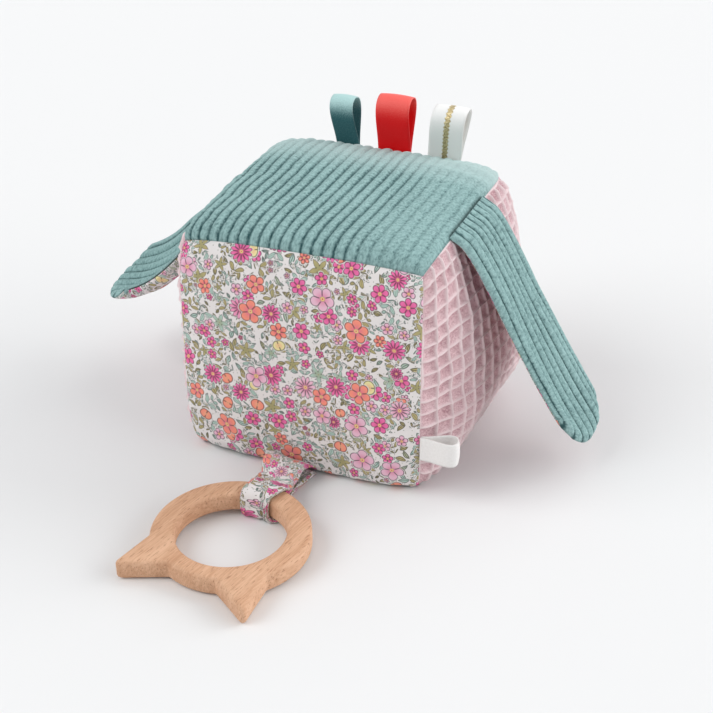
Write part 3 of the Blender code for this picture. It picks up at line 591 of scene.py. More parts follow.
def waffle_cells(across, along):
    """How many ribs lie between a place and the panel's corner, each way: the ribs wander a little."""
    a = (across + 1) / 2 * WAFFLE_CELLS[0] + 0.07 * np.sin(along * 5 + across * 9)
    b = (along + 1) / 2 * WAFFLE_CELLS[1] + 0.08 * np.sin(across * 6 + along * 4)
    return a + 0.04 * np.sin(along * 17 + across * 3), b + 0.04 * np.sin(across * 19 - along * 5)


def waffle_relief(across, along, to_seam):
    a, b = waffle_cells(across, along)
    to_rib = np.minimum(0.5 - abs(a % 1 - 0.5), 0.5 - abs(b % 1 - 0.5))
    uneven = 1 + 0.25 * np.sin(np.floor(a) * 12.9 + np.floor(b) * 78.2)
    ribs = 0.0008 * np.exp(-(to_rib / 0.055) ** 2)
    hollows = 0.0020 * uneven * np.clip(to_rib / 0.42, 0, 1) ** 0.85
    fade = 1 - np.exp(-(to_seam / 0.0016) ** 2)
    return (0.0003 + ribs - hollows + tufts(across.shape, 0.00008, 9)) * fade


def waffle_material():
    material, thread, shader = finish("pink waffle cotton", 0.95, Sheen_Weight=0.22, Specular_IOR_Level=0.1,
                                      Sheen_Tint=(1, 0.86, 0.88, 1))
    place, across, along = thread.cut()
    a, b = across.part(), along.part()
    to_rib = thread.math("MINIMUM", 0.5 - abs(a - 0.5), 0.5 - abs(b - 0.5))
    fuzz = thread.noise(place, 6, 4, 0.75)
    yarns = thread.noise(place, 15, 3, 0.7)
    patches = thread.noise(place, 0.9, 2, 0.5)
    # Painted shade: the hollows are painted darker than the ribs, and darker towards the top of each cell.
    depth = (to_rib + (fuzz - 0.5) * 0.16).ramp(0.005, 0.150)
    light = (yarns - 0.5) * 1.5 + (fuzz - 0.5) * 1.5 + (patches - 0.5) * 0.5 + 0.5 - (b - 0.5) * 0.3
    shaded_hollow = light.ramp(0.0, 1.0).mixed((0.440, 0.215, 0.250, 1), (0.820, 0.620, 0.640, 1))
    color = depth.mixed((0.865, 0.710, 0.720, 1), shaded_hollow)
    return set_finish(material, shader, color, thread.bumped(fuzz * 0.5 + yarns * 0.5, 0.8, 0.0008))


waffle = waffle_material()
shares = [np.append((np.arange(cells)[:, None] + RIB_SHARES).ravel(), cells) / cells
          for cells in WAFFLE_CELLS]
flat = np.stack(waffle_cells(*np.meshgrid(*(share * 2 - 1 for share in shares), indexing="ij")), axis=2)
for way, side, fill in (("right", 1, 0.8), ("left", -1, 0.75)):
    sew_panel(f"{way}_waffle", f"{way}_panel", 0, side, shares, waffle_relief, flat, WAFFLE_THICK,
              waffle, "waffle")
bpy.data.objects.remove(cover, do_unlink=True)

# Ears
# Two long flaps, sewn into the side seams of the top: corduroy outside with its wales lengthwise,
# printed cotton inside, thin wadding between, joined edge to edge and turned right side out.
EAR_LENGTH, EAR_ROOT, EAR_END, EAR_WALES = 0.1265, 0.0490, 0.0470, 9
EAR_CUT, EAR_FORWARD, EAR_STEPS = EAR_WALES * WALE, 0.0048, 400
LINING_THICK, LINING_START = 0.0005, (0.4, 0.1)

# The slopes at the root, of the hang and more of it towards the tip; how far the root's slope reaches; the
# sweep back and more of it; the curl of the front and back edges and the roll of the whole, where they
# start, and how much the corners are cut off; and how deep the root is sunk and over what length.
EAR_SHAPES = {"right": {"side": 1, "root": 36.7, "hang": 62.6, "extra": -4.3, "bend": 0.0095,
                        "sweep": -2.4, "more": 7.1, "front": 30, "back": -46, "roll": 10.6,
                        "late": 0.27, "tips": (0.21, 0.12), "sunk": -0.0006, "sinks": 0.006},
              "left": {"side": -1, "root": 66.0, "hang": 75.2, "extra": -60.4, "bend": 0.0090,
                       "sweep": 7.8, "more": 10.1, "front": 100, "back": 56, "roll": 18.6,
                       "late": 0.0, "tips": (0.28, 0.17), "sunk": 0.0026, "sinks": 0.030}}


def smooth(t):
    t = np.clip(t, 0, 1)
    return t * t * (3 - 2 * t)


def ear_middle(shape, across, along_share):
    """The ear's middle surface, at shares across it from -1 to 1 and along it from 0 to 1."""
    a, u = np.meshgrid(across, along_share, indexing="ij")
    s = np.linspace(0, EAR_LENGTH, EAR_STEPS)
    at_root = np.exp(-s / shape["bend"])
    droop = shape["hang"] + (shape["root"] - shape["hang"]) * at_root + shape["extra"] * s / EAR_LENGTH
    droop = np.radians(droop)
    turn = np.radians(shape["sweep"] + shape["more"] * s / EAR_LENGTH) * (1 - at_root)
    ways = np.cos(turn) * np.cos(droop), np.cos(turn) * np.sin(droop), np.sin(turn)
    runs = [np.cumsum(way) * EAR_LENGTH / (EAR_STEPS - 1) for way in ways]
    along = EAR_LENGTH * (u - np.where(a < 0, *shape["tips"]) * abs(a) ** 2.4 * u ** 5)
    out, down, back, droop, turn = (np.interp(along, s, way) for way in (*runs, droop, turn))
    half_width = (EAR_ROOT + (EAR_END - EAR_ROOT) * u ** 2) / 2
    reach = smooth((along / EAR_LENGTH - shape["late"]) * 2)
    curl = np.radians(np.where(a < 0, shape["front"], shape["back"])) * reach
    sideways, rise = np.zeros_like(a), np.zeros_like(a)
    for k in range(24):
        slope = curl * (abs(a) * (k + 0.5) / 24) ** 2
        sideways += a * np.cos(slope) / 24
        rise += abs(a) * np.sin(slope) / 24
    sideways, rise = sideways * half_width, rise * half_width
    tilt = np.radians(shape["roll"]) * reach
    sideways, rise = (sideways * np.cos(tilt) - rise * np.sin(tilt),
                      sideways * np.sin(tilt) + rise * np.cos(tilt))
    at_side = np.full(len(across), float(shape["side"]))
    along_root = (across * EAR_ROOT / 2 - EAR_FORWARD) / HALF[1]
    seam_line = stuffed(np.stack([at_side, along_root, at_side ** 2], axis=1))
    seam = stuffed(np.array([[shape["side"], -EAR_FORWARD / HALF[1], 1.0]]))[0]
    along_seam = (seam_line - seam)[:, None, :] * (1 - smooth(along / 0.025))[:, :, None]
    caught = 1 - smooth(along / 0.006)
    sunk = shape["sunk"] * (1 - smooth(along / shape["sinks"]))
    out = out + 0.0011 - 0.0024 * caught + rise * np.sin(droop) - sideways * np.sin(turn) * np.cos(droop)
    down = down + sunk - rise * np.cos(droop) - sideways * np.sin(turn) * np.sin(droop)
    out, down = shape["side"] * out + along_seam[:, :, 0], down - along_seam[:, :, 2]
    return np.stack([seam[0] + out, seam[1] + back + sideways * np.cos(turn), seam[2] - down], axis=2)


def ear_wales(a, u):
    return wale_count((a + 1) / 2 * EAR_CUT, u * EAR_LENGTH, 4.0) + 0.5


def ear_cloth(name, shape, across, offset, thickness, inner, start):
    along = np.linspace(0, 1, 121)
    rows = ear_middle(shape, across, along)
    normal = facing(rows)
    if normal[:, 4, 2].mean() < 0:
        normal = -normal
    a, u = np.meshgrid(across, along, indexing="ij")
    edge = np.maximum(abs(a), np.clip(u * 1.03 - 0.03, 0, 1) ** 4)
    rows = rows + normal * offset(a, u, edge)[:, :, None]
    rows[:, :, 2] = np.maximum(rows[:, :, 2], 0.0005)
    cut = flat_cut((across + 1) / 2, along, EAR_CUT, EAR_LENGTH, start)
    if not inner:
        cut[:, :, 0] = ear_wales(a, u) * WALE
    seen_from_back = (shape["side"] > 0) == inner
    return cloth_grid(name, rows, cut, seen_from_back, thickness)


def outer_offset(a, u, edge):
    ribs = wale_height(ear_wales(a, u)) * (0.3 + 0.7 * smooth(u / 0.06))
    pile = (0.0004 + 0.0021 * ribs) * (1 - 0.75 * edge ** 9) + tufts(a.shape, 0.00006, 6)
    return 0.0010 * (1 - edge ** 14) + pile - 0.0007 * edge ** 30


def lining_offset(a, u, edge):
    return -0.0006 * (1 - edge ** 12) + 0.0002 * np.sin(u * 31 + 3 * a) * (1 - edge ** 4)


def blend_ear(cloth, shape):
    """Bakes a cloth's transform into its mesh. The ear's middle at the seam and a tenth along is found, but
    not used.
    """
    seam, leaving = (Vector(ear_middle(shape, np.zeros(1), np.array([u]))[0, 0]) for u in (0.0, 0.1))
    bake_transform(cloth)


even = np.linspace(-1, 1, EAR_WALES * 10 + 1)
close_to_edges = np.sin(even * 1.45) / math.sin(1.45) * 0.35 + even * 0.65
for ear, shape in EAR_SHAPES.items():
    outer = ear_cloth(f"{ear}_ear_corduroy", shape, close_to_edges, outer_offset, 0.0011, False,
                      (0.0, EAR_CLOTH_START))
    dress(outer, corduroy, "corduroy", None, f"{ear}_ear_outer")
    lining = ear_cloth(f"{ear}_ear_cotton", shape, np.linspace(-1, 1, 41) * 0.975, lining_offset,
                       LINING_THICK, True, LINING_START)
    dress(lining, printed, "cotton", None, f"{ear}_ear_lining")
    for cloth in (outer, lining):
        blend_ear(cloth, shape)

# Ribbon loops
# Three lengths of ribbon, each folded in two and caught in the top back seam: teal satin, red satin,
# and white taffeta with a narrow stripe of gold thread down its middle.
RIBBON_THICK, RIBBON_SUNK, RIBBON_DEPTH, RIBBON_LEAN = 0.0005, 0.0012, 0.0130, 0.0030
# Place along the seam, width, height, tilt, the painted highlight colour at the fold, and the satin's
# colour.
RIBBONS = {"teal": (-0.0240, 0.0127, 0.0268, 0.0034, (0.460, 0.690, 0.680, 1), (0.026, 0.108, 0.122, 1)),
           "red": (0.0018, 0.0180, 0.0306, 0.0004, (0.930, 0.140, 0.120, 1), (0.800, 0.003, 0.006, 1)),
           "white": (0.0290, 0.0180, 0.0288, -0.0030, (0.92, 0.915, 0.90, 1), (0.83, 0.825, 0.80, 1))}
GOLD_HALF, GOLD_STITCH = 0.0012, 0.0024


def satin(name, light, dark, long, striped_width=None):
    material, thread, shader = finish(name, 0.42, Sheen_Weight=0.03, Sheen_Roughness=0.4,
                                      Specular_IOR_Level=0.22, Anisotropic=0.4)
    place, across, along = thread.cut()
    ribs = thread.threads(place, 620.0, "Y")
    grain = thread.noise(place, 1400, 2)
    # Painted highlight: the satin is painted lighter towards the middle of its length, where the loop folds
    # over.
    fold = 1 - abs(along / long - 0.5).ramp(0.04, 0.24)
    shade = (grain - 0.5) * 0.5 + ribs * 0.15 + fold * 0.8
    color = shade.ramp(0.0, 1.0).mixed(dark, light)
    if not striped_width:
        return set_finish(material, shader, color, thread.bumped(ribs * 0.6 + grain * 0.4, 0.35, 0.0002))
    zig = abs((along / GOLD_STITCH).part() - 0.5) * 0.0016 - 0.0004
    gold = 1 - abs(across - 0.5 * striped_width + zig).ramp(GOLD_HALF, GOLD_HALF + 0.0004)
    knots = thread.noise(place, 1500, 2, 0.7)
    glitter = knots.ramp(0.35, 0.65).mixed((0.20, 0.13, 0.04, 1), (0.86, 0.74, 0.44, 1))
    normal = thread.bumped(ribs * 0.3 + grain * 0.2 + gold * knots * 3, 0.5, 0.0003)
    return set_finish(material, shader, gold.mixed(color, glitter), normal, gold.ramp(0.0, 1.0, 0.42, 0.32),
                      gold * 0.7)


def folded_loop(name, height, depth, width, lean, tilt, place):
    """A folded ribbon standing on local z, its width along x, moved to its place by a matrix."""
    steps = np.linspace(0, math.pi, 65)
    foot, widest = 0.0004, 0.431
    spread = -np.cos(steps) * (foot + (depth / 2 - foot) / widest * np.sin(steps) ** 1.5)
    rise = height * np.sin(steps) - RIBBON_SUNK * (1 - np.sin(steps)) ** 8
    across = np.linspace(-0.5, 0.5, 13)
    rows = np.zeros((len(across), len(steps), 3))
    rows[:, :, 0] = across[:, None] * width - tilt * (rise / height)[None, :]
    rows[:, :, 1] = (spread + lean * rise / height)[None, :]
    rows[:, :, 2] = rise[None, :] - 0.0006 * (across[:, None] * 2) ** 2 * np.sin(steps)[None, :] ** 4
    rows = rows @ np.array(place.to_3x3()).T + np.array(place.translation)
    length = np.linalg.norm(np.diff(np.stack([spread, rise]), axis=1), axis=0)
    long = np.concatenate([[0], np.cumsum(length)])
    cut = np.stack(np.meshgrid((across + 0.5) * width, long, indexing="ij"), axis=2)
    return cloth_grid(name, rows, cut, False, RIBBON_THICK), float(long[-1])


for ribbon, (x, width, height, tilt, light, dark) in RIBBONS.items():
    seam = Vector(stuffed(np.array([[x / HALF[0], 1.0, 1.0]]))[0])
    loop, long = folded_loop(f"{ribbon}_loop_ribbon", height, RIBBON_DEPTH, width, RIBBON_LEAN, tilt,
                             Matrix.Translation((x, seam.y, seam.z)))
    if ribbon == "white":
        ribbon_finish = satin("white taffeta", light, dark, long, width)
    else:
        ribbon_finish = satin(f"{ribbon} satin", light, dark, long)
    dress(loop, ribbon_finish, f"{ribbon}_satin", None, f"{ribbon}_ribbon")
    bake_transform(loop)

# Label
# A blank loop of white woven tape, folded in two and caught in the front right seam near the bottom.
# It is soft and a little open at its fold.
LABEL_HEIGHT, LABEL_WIDTH, LABEL_REACH, LABEL_DEPTH = 0.0290, 0.0125, 0.0172, 0.0080
LABEL_TURN = math.radians(10)


def tape_material():
    material, thread, shader = finish("white woven tape", 0.8, Specular_IOR_Level=0.25)
    place, _, _ = thread.cut()
    weft, warp = (thread.threads(place, 700.0, way) for way in "YX")
    fuzz = thread.noise(place, 900, 2)
    color = (weft * 0.3 + fuzz * 0.7).ramp(0.2, 0.8).mixed((0.80, 0.78, 0.76, 1), (0.88, 0.86, 0.845, 1))
    return set_finish(material, shader, color, thread.bumped(weft * warp + fuzz, 0.3, 0.0002))


outward = Vector((math.cos(LABEL_TURN), math.sin(LABEL_TURN), 0))
sideways = Vector((-outward.y, outward.x, 0))
seam = Vector(stuffed(np.array([[1.0, -1.0, (LABEL_HEIGHT + LABEL_WIDTH / 2 - MIDDLE) / HALF[2]]]))[0])
foot = Vector((seam.x + 0.0010, seam.y + 0.0008, LABEL_HEIGHT))
label_place = Matrix(((0, sideways.x, outward.x, foot.x), (0, sideways.y, outward.y, foot.y),
                      (1, 0, 0, foot.z), (0, 0, 0, 1)))
label, long = folded_loop("blank_label", LABEL_REACH, LABEL_DEPTH, LABEL_WIDTH, 0.0, 0.0, label_place)
dress(label, tape_material(), "label_tape", None, "label_loop")
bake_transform(label)

# Teether ring
# A flat beech ring with two pointed ears, sawn from one board 10 mm thick, its edges rounded over and
# sanded, and left bare. The grain runs slantwise across it, with the short dark flecks of beech.
RING_CENTER, RING_TILT, RING_TURN = Vector((-0.0048, -0.1337, 0.00182)), math.atan2(0.03753, 0.9993), -7.5
RING_RADIUS, RING_HOLE, RING_THICK, RING_ROUNDING = 0.0370, 0.02575, 0.0100, 0.0019
RING_BAR = (RING_RADIUS + RING_HOLE) / 2
# Degrees from the ring's near side, and reach: where an ear starts, at its tip, and where it ends.
EAR_CORNERS = [(math.radians(turn), reach)
               for turn, reach in ((21, RING_RADIUS * 0.94), (37.5, 0.0560), (57, RING_RADIUS))]


def ring_reach(angle):
    """The ring's outer reach at an angle from its near side, with its two ears."""
    size = abs(angle)
    if size <= EAR_CORNERS[0][0]:
        return EAR_CORNERS[0][1]
    for (a, p), (b, q) in zip(EAR_CORNERS, EAR_CORNERS[1:]):
        if size <= b:
            return p * q * math.sin(b - a) / (p * math.sin(size - a) + q * math.sin(b - size))
    return RING_RADIUS


bpy.ops.object.select_all(action="DESELECT")
bpy.ops.mesh.primitive_circle_add(vertices=240, radius=RING_HOLE)
ring = bpy.context.object
ring.name = ring.data.name = "beech_ring"
bpy.ops.object.mode_set(mode="EDIT")
bpy.ops.mesh.primitive_circle_add(vertices=240, radius=RING_RADIUS)
bpy.ops.mesh.select_all(action="SELECT")
bpy.ops.mesh.bridge_edge_loops()
bpy.ops.object.mode_set(mode="OBJECT")
for vertex in ring.data.vertices:
    if vertex.co.xy.length > RING_BAR:
        angle = math.atan2(vertex.co.x, -vertex.co.y)
        reach = sum(ring_reach(angle + math.radians(shift)) for shift in (-0.8, -0.4, 0, 0.4, 0.8)) / 5
        vertex.co.xy = vertex.co.xy.normalized() * reach
bpy.ops.object.mode_set(mode="EDIT")
bpy.ops.mesh.select_all(action="SELECT")
bpy.ops.mesh.extrude_region_move(TRANSFORM_OT_translate={"value": (0, 0, RING_THICK)})
bpy.ops.mesh.select_all(action="SELECT")
bpy.ops.mesh.normals_make_consistent(inside=False)
bpy.ops.object.mode_set(mode="OBJECT")
rims = ring.modifiers.new("rims", "BEVEL")
rims.width, rims.segments, rims.limit_method, rims.angle_limit = RING_ROUNDING, 5, "ANGLE", math.radians(55)
bpy.ops.object.modifier_apply(modifier="rims")
ring_frame = Matrix.Translation(RING_CENTER) @ Matrix.Rotation(RING_TILT, 4, "X")
ring.data.transform(ring_frame @ Matrix.Rotation(math.radians(RING_TURN), 4, "Z"))
bpy.ops.object.shade_smooth_by_angle(angle=math.radians(30))


def beech_material():
    material, thread, shader = finish("bare beech", 0.62, Specular_IOR_Level=0.3)
    board = thread.node("VectorRotate", {"rotation_type": "Z_AXIS"},
                        {"Vector": thread.object_place(), "Angle": math.radians(-76)})
    grain = thread.stretched(board, (0.07, 1.15, 0.6))
    lines, bands = thread.noise(grain, 1100, 3, 0.65), thread.noise(grain, 130, 2, 0.5)
    flecks = thread.noise(thread.stretched(board, (0.22, 1.9, 1.0)), 1050, 1, 0.4)
    color = (bands * 0.45 + lines * 0.55).ramp(0.32, 0.68)
    color = color.mixed((0.545, 0.295, 0.170, 1), (0.73, 0.455, 0.295, 1))
    color = (flecks.ramp(0.62, 0.70) * 0.6).mixed(color, (0.33, 0.15, 0.075, 1))
    height = lines - flecks.ramp(0.66, 0.76) * 0.8
    return set_finish(material, shader, color, thread.bumped(height, 0.25, 0.0003))


dress(ring, beech_material(), "beech", "ring", "teether_ring")

# Strap
# A doubled strip of the printed cotton, caught in the front bottom seam. Its two legs lie side by
# side, pass under the ring, come up through its hole and over it, and tuck under their own loop.
STRAP_THICK, STRAP_GAP, STRAP_X, STRAP_SIDES = 0.0022, 0.0003, 0.0005, 41
HITCH_TURN, HITCH_HALF, LOOP_RADIUS = 6, 20.4, 0.0060
STRAP_CUT, STRAP_CUT_START, STRAP_PRINT_SCALE = (0.7, 0.739), 0.05, 1.5


def strap_half(side):
    """Half of the strap, from its seam round the ring to the middle of its loop: at each station its
    place, the way across it, half its width and its thickness."""
    half, corner = STRAP_THICK / 2, STRAP_THICK
    under = half + LOWEST_CLOTH
    over = (ring_frame @ Vector((0, RING_BAR, 0))).z + RING_THICK + STRAP_GAP + half
    inside = RING_HOLE - STRAP_GAP - half - STRAP_THICK / 4
    hitch, center = math.radians(HITCH_TURN), Vector((RING_CENTER.x, RING_CENTER.y, 0))
    inward = Vector((math.sin(hitch), math.cos(hitch), 0))
    sideways = Vector((math.cos(hitch), -math.sin(hitch), 0)) * side

    def leg(x, y, z, apart, half_width, thick=STRAP_THICK):
        """A station where the two halves lie side by side."""
        return x + side * apart, y, z, side, 0.0, half_width, thick

    def band(r, z, twist=0.0):
        """A station on the ring: with a twist, the parting between the halves slants."""
        share = (r - RING_BAR) / (RING_RADIUS - RING_BAR)
        slip = 2.9 + 3.2 * share if side < 0 else -4.9 + 0.8 * share
        parting, edge = HITCH_TURN - 6.5 * share * twist, HITCH_TURN + side * HITCH_HALF + twist * slip
        polar, half_turn = math.radians((parting + edge) / 2), math.radians(abs(edge - parting) / 2)
        place = center + Vector((math.sin(polar), math.cos(polar), 0)) * r
        half_width = r * math.tan(half_turn) - 0.0001
        return place.x, place.y, z, math.cos(polar) * side, -math.sin(polar) * side, half_width, STRAP_THICK

    seam = stuffed(np.array([[STRAP_X / HALF[0], -1.0, STRAP_THICK / HALF[2] - 1]]))[0]
    points = [leg(-0.0012, seam[1] + 0.001, under, 0.0050, 0.0050),
              leg(-0.0022, -0.0835, under, 0.0036, 0.0036),
              leg(-0.0015, -0.0945, under, 0.0046, 0.0046), band(RING_BAR, under),
              band(inside + corner, under, 0.5), band(inside, under + corner + half, 1),
              band(inside, (under + over) / 2, 1), band(inside, over - corner - half, 1),
              band(inside + corner, over, 1), band(RING_BAR, over + 0.0004, 1),
              band(RING_RADIUS - half, over - STRAP_GAP, 1),
              leg(-0.0016, -0.0925, 0.0104, 0.0050, 0.0046, 0.0036)]
    turn_center = center + inward * (RING_RADIUS + 2 * STRAP_THICK) - Vector((0.003, 0, 0))
    for share in (0.0, 0.34, 0.67, 1.0):
        c, s = math.cos(math.pi / 2 * share), math.sin(math.pi / 2 * share)
        place = turn_center + sideways * LOOP_RADIUS * c + inward * 0.0080 * s
        across = sideways * c + inward * s
        points.append((place.x, place.y, 0.0086, across.x, across.y, LOOP_RADIUS * 0.8, 0.0040))
    route = along_rows(np.array(points)[:, None, :], np.linspace(0, 1, 97))[:, 0]
    route[:, 2] = np.maximum(route[:, 2], under)
    return route


stations = np.concatenate([strap_half(-1), strap_half(1)[::-1][1:]])
middle = stations[:, :3]
run = np.gradient(middle, axis=0)
run /= np.linalg.norm(run, axis=1, keepdims=True)
wide = np.concatenate([stations[:, 3:5], np.zeros((len(stations), 1))], axis=1)
wide -= run * (wide * run).sum(axis=1, keepdims=True)
wide /= np.linalg.norm(wide, axis=1, keepdims=True)
lift = np.cross(run, wide)
rows = np.zeros((STRAP_SIDES, len(stations), 3))
length = np.concatenate([[0], np.cumsum(np.linalg.norm(np.diff(middle, axis=0), axis=1))])
for k, angle in enumerate(np.linspace(0, math.tau, STRAP_SIDES)):
    c, s = math.cos(angle), math.sin(angle)
    stitched = 0.0002 * np.exp(-((abs(c) - 0.80) / 0.05) ** 2)
    creases = 0.00030 * np.sin(c * 9 + length * 90) * abs(s) ** 0.5 - stitched
    flat_way = math.copysign(abs(c) ** 0.55, c) * stations[:, 5]
    up_way = math.copysign(abs(s) ** 0.8, s) * (stations[:, 6] / 2 + creases)
    rows[k] = middle + wide * flat_way[:, None] + lift * up_way[:, None]
rows[:, :, 2] = np.maximum(rows[:, :, 2], LOWEST_CLOTH)
cut_along = STRAP_CUT_START + length * STRAP_PRINT_SCALE
cut = np.stack(np.meshgrid(np.linspace(*STRAP_CUT, STRAP_SIDES), cut_along, indexing="ij"), axis=2)
strap = grid_through("printed_strap", rows, cut)
bpy.ops.object.mode_set(mode="EDIT")
bpy.ops.mesh.select_all(action="SELECT")
bpy.ops.mesh.remove_doubles(threshold=0.000001)
bpy.ops.mesh.fill_holes(sides=0)
bpy.ops.mesh.select_all(action="SELECT")
bpy.ops.mesh.normals_make_consistent(inside=False)
bpy.ops.object.mode_set(mode="OBJECT")
bpy.ops.object.shade_smooth()
dress(strap, printed, "cotton", None, "strap")
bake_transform(strap)

# Loose loop of the strap
# The hitch's loose loop stands up between ring and block, gathered where it goes over the ring and open
# at its right. Places are in millimetres, from left to right and from the ring to the block.
FOLD_PLACES = [[(-14.5, -78, 4), (-15.6, -77, 6), (-16, -75, 7), (-16, -72.5, 7), (-15.5, -70, 6)],
               [(-11.5, -84.5, 6), (-13, -81, 10), (-14, -76.5, 12.3), (-14.5, -71.5, 12), (-14, -67, 10)],
               [(-7, -89.5, 7), (-8, -86, 9.8), (-8.5, -79, 13.2), (-9, -72, 12.6), (-9, -66.5, 9)],
               [(0, -91.5, 9), (-1, -86.5, 10.6), (-2, -79, 12), (-2, -72, 11), (-2, -66.5, 8)],
               [(6, -88, 8), (4, -84, 9.5), (3, -78, 11), (3.5, -71.5, 10.5), (4, -66.5, 7.5)],
               [(4.5, -82.5, 4.5), (6, -80.5, 7), (6.5, -76.5, 9.2), (8, -71, 9), (9.5, -66.5, 6.5)]]
FOLD_CUT, FOLD_THICK = (0.032, 0.028), 0.0008

fold_u, fold_v = np.linspace(0, 1, 71), np.linspace(0, 1, 51)
rows = along_both(np.array(FOLD_PLACES) / 1000, fold_u, fold_v)
a, b = np.meshgrid(fold_u, fold_v, indexing="ij")
wrinkles = 0.0006 * np.sin(a * 21 + b * 5) * np.exp(-b * 2.2) + 0.0003 * np.sin(a * 11 - b * 14)
rows = rows + facing(rows) * (wrinkles * np.sin(math.pi * np.clip(a * 1.3, 0, 1)) ** 0.5)[:, :, None]
cut = flat_cut(fold_u, fold_v, *(size * STRAP_PRINT_SCALE for size in FOLD_CUT), (0.8, 0.3))
strap_fold = cloth_grid("strap_fold", rows, cut, False, FOLD_THICK)
dress(strap_fold, printed, "cotton", None)
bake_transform(strap_fold)

# Filling and wadding
# Loose white polyester fibre, packed in two halves round a rattle, with thin wadding of the same fibre
# in the ears.
FIBRE_ROOM = 0.075
WADDING_THICK, WADDING_CUT = 0.0004, (0.043, 0.12)


def fibre_material():
    material, thread, shader = finish("white fibre", 0.95, Sheen_Weight=0.3)
    wisps = thread.noise(thread.object_place(), 300, 4, 0.7)
    color = wisps.mixed((0.74, 0.73, 0.71, 1), (0.88, 0.87, 0.85, 1))
    return set_finish(material, shader, color, thread.bumped(wisps, 0.8, 0.001))


fibre = fibre_material()
for half in ("lower", "upper"):
    bpy.ops.object.select_all(action="DESELECT")
    filling = bpy.data.objects.new(f"{half}_filling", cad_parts[f"filling_{half}"].data.copy())
    bpy.context.collection.objects.link(filling)
    bpy.context.view_layer.objects.active = filling
    filling.select_set(True)
    bpy.ops.object.mode_set(mode="EDIT")
    bpy.ops.mesh.select_all(action="SELECT")
    bpy.ops.mesh.remove_doubles(threshold=0.000001)
    bpy.ops.object.mode_set(mode="OBJECT")
    places = read_places(filling.data)
    tuft = 0.0024 * abs(np.sin(places @ np.array([[900.0], [700.0], [800.0]])))
    places -= (places - places.mean(axis=0)) * (FIBRE_ROOM + tuft)
    filling.data.vertices.foreach_set("co", places.ravel())
    bpy.ops.object.shade_smooth()
    dress(filling, fibre, "fibre", "block", f"filling_{half}")

for ear, shape in EAR_SHAPES.items():
    rows = ear_middle(shape, np.linspace(-0.88, 0.88, 25), np.linspace(0.03, 0.97, 49))
    cut = flat_cut(np.linspace(0, 1, 25), np.linspace(0, 1, 49), *WADDING_CUT)
    wadding = cloth_grid(f"{ear}_ear_fibre", rows, cut, shape["side"] > 0, WADDING_THICK)
    dress(wadding, fibre, "fibre", None, f"{ear}_ear_wadding")
    blend_ear(wadding, shape)

# Rattle
# A ball of two plastic shells with three steel beads, in the middle of the filling. Its solids are right
# as they are, and only get their finish here.


def shell_material():
    material, thread, shader = finish("rattle plastic", 0.35)
    cloud = thread.noise(thread.object_place(), 60, 2)
    color = cloud.mixed((0.68, 0.74, 0.80, 1), (0.78, 0.83, 0.87, 1))
    return set_finish(material, shader, color, thread.bumped(cloud, 0.1, 0.0005))


def bead_material():
    material, thread, shader = finish("bead steel", 0.25, Metallic=1.0)
    scuffs = thread.noise(thread.object_place(), 900, 3)
    color = scuffs.mixed((0.50, 0.50, 0.52, 1), (0.66, 0.66, 0.68, 1))
    return set_finish(material, shader, color, roughness=scuffs.ramp(0.3, 0.7, 0.18, 0.35))


rattle_finishes = {"rattle_shell": shell_material(), "rattle_bead": bead_material()}
for node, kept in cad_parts.items():
    for start, material in rattle_finishes.items():
        if node.startswith(start):
            kept.data.materials.clear()
            kept.data.materials.append(material)

# Studio
# A pale floor and wall under soft light, and the camera where the photograph was taken from.
FLOOR_COLOR, SKY_COLOR, SKY_STRENGTH, WALL_STRENGTH = (0.80, 0.80, 0.80, 1), (0.96, 0.98, 1.0, 1), 0.55, 0.93
CAMERA_TURN, CAMERA_RISE, CAMERA_AWAY, CAMERA_LENS = 21.099, 30.166, 0.777577, 75.74
CAMERA_TARGET = Vector((0.004777, 0, 0.0316))
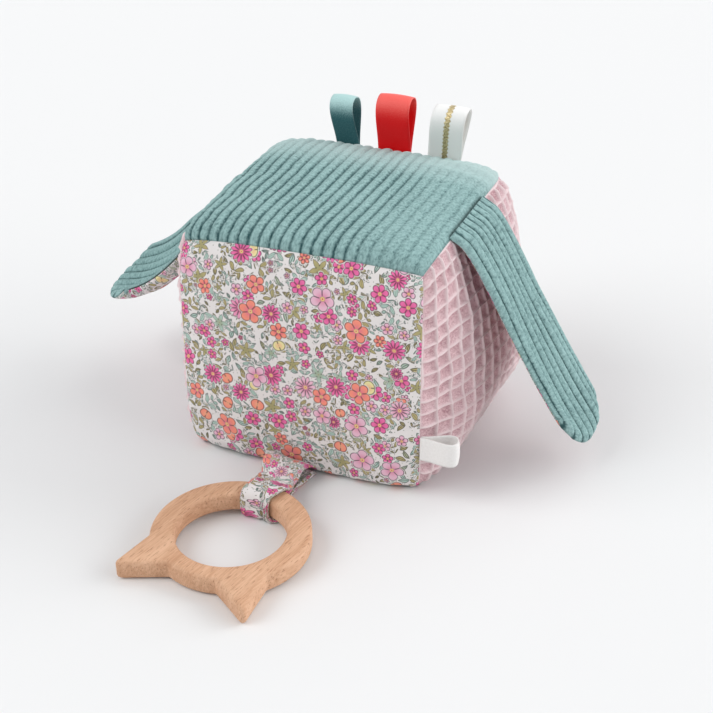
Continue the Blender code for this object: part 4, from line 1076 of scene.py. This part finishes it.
# Degrees round from the front towards the right, degrees up, strength, and width in degrees.
SUNS = {"left front": (-55, 42, 1.36, 40), "right": (88, 22, 0.70, 35), "right back": (125, 27, 1.15, 35),
        "behind": (165, 44, 0.40, 45)}

bpy.ops.object.select_all(action="DESELECT")
bpy.ops.mesh.primitive_plane_add(size=6)
floor = bpy.context.object
floor.name = "floor"
floor_material, thread, shader = finish("pale floor", 0.9)
shader.inputs["Base Color"].default_value = FLOOR_COLOR
floor.data.materials.append(floor_material)

world = bpy.data.worlds.new("studio")
world.use_nodes = True
bpy.context.scene.world = world
thread = Thread(world.node_tree)
camera_rays = thread.node("LightPath")
seen = camera_rays
for kind in ("Is Glossy Ray", "Is Transmission Ray"):
    seen = thread.math("MAXIMUM", seen, camera_rays.beside(kind))
lit = thread.node("Background", {}, {"Color": SKY_COLOR, "Strength": SKY_STRENGTH})
shown = thread.node("Background", {}, {"Color": (1, 1, 1, 1), "Strength": WALL_STRENGTH})
both = thread.node("MixShader", {}, {0: seen, 1: lit, 2: shown})
world.node_tree.links.new(both.socket, world.node_tree.nodes["World Output"].inputs["Surface"])


def from_front(turn, rise):
    """The direction of a place that is seen so many degrees round from the front and so many up."""
    turn, rise = math.radians(turn), math.radians(rise)
    return Vector((math.sin(turn) * math.cos(rise), -math.cos(turn) * math.cos(rise), math.sin(rise)))


for name, (turn, rise, strength, width) in SUNS.items():
    lamp = bpy.data.lights.new(name, "SUN")
    lamp.energy, lamp.angle = strength, math.radians(width)
    holder = bpy.data.objects.new(name, lamp)
    bpy.context.collection.objects.link(holder)
    holder.rotation_euler = from_front(turn, rise).to_track_quat("Z", "Y").to_euler()

camera_data = bpy.data.cameras.new("photograph")
camera_data.lens, camera_data.sensor_width = CAMERA_LENS, 36
camera = bpy.data.objects.new("photograph", camera_data)
bpy.context.collection.objects.link(camera)
towards_camera = from_front(CAMERA_TURN, CAMERA_RISE)
camera.location = CAMERA_TARGET + towards_camera * CAMERA_AWAY
camera.rotation_euler = towards_camera.to_track_quat("Z", "Y").to_euler()
bpy.context.scene.camera = camera
bpy.context.scene.view_settings.view_transform = "Standard"
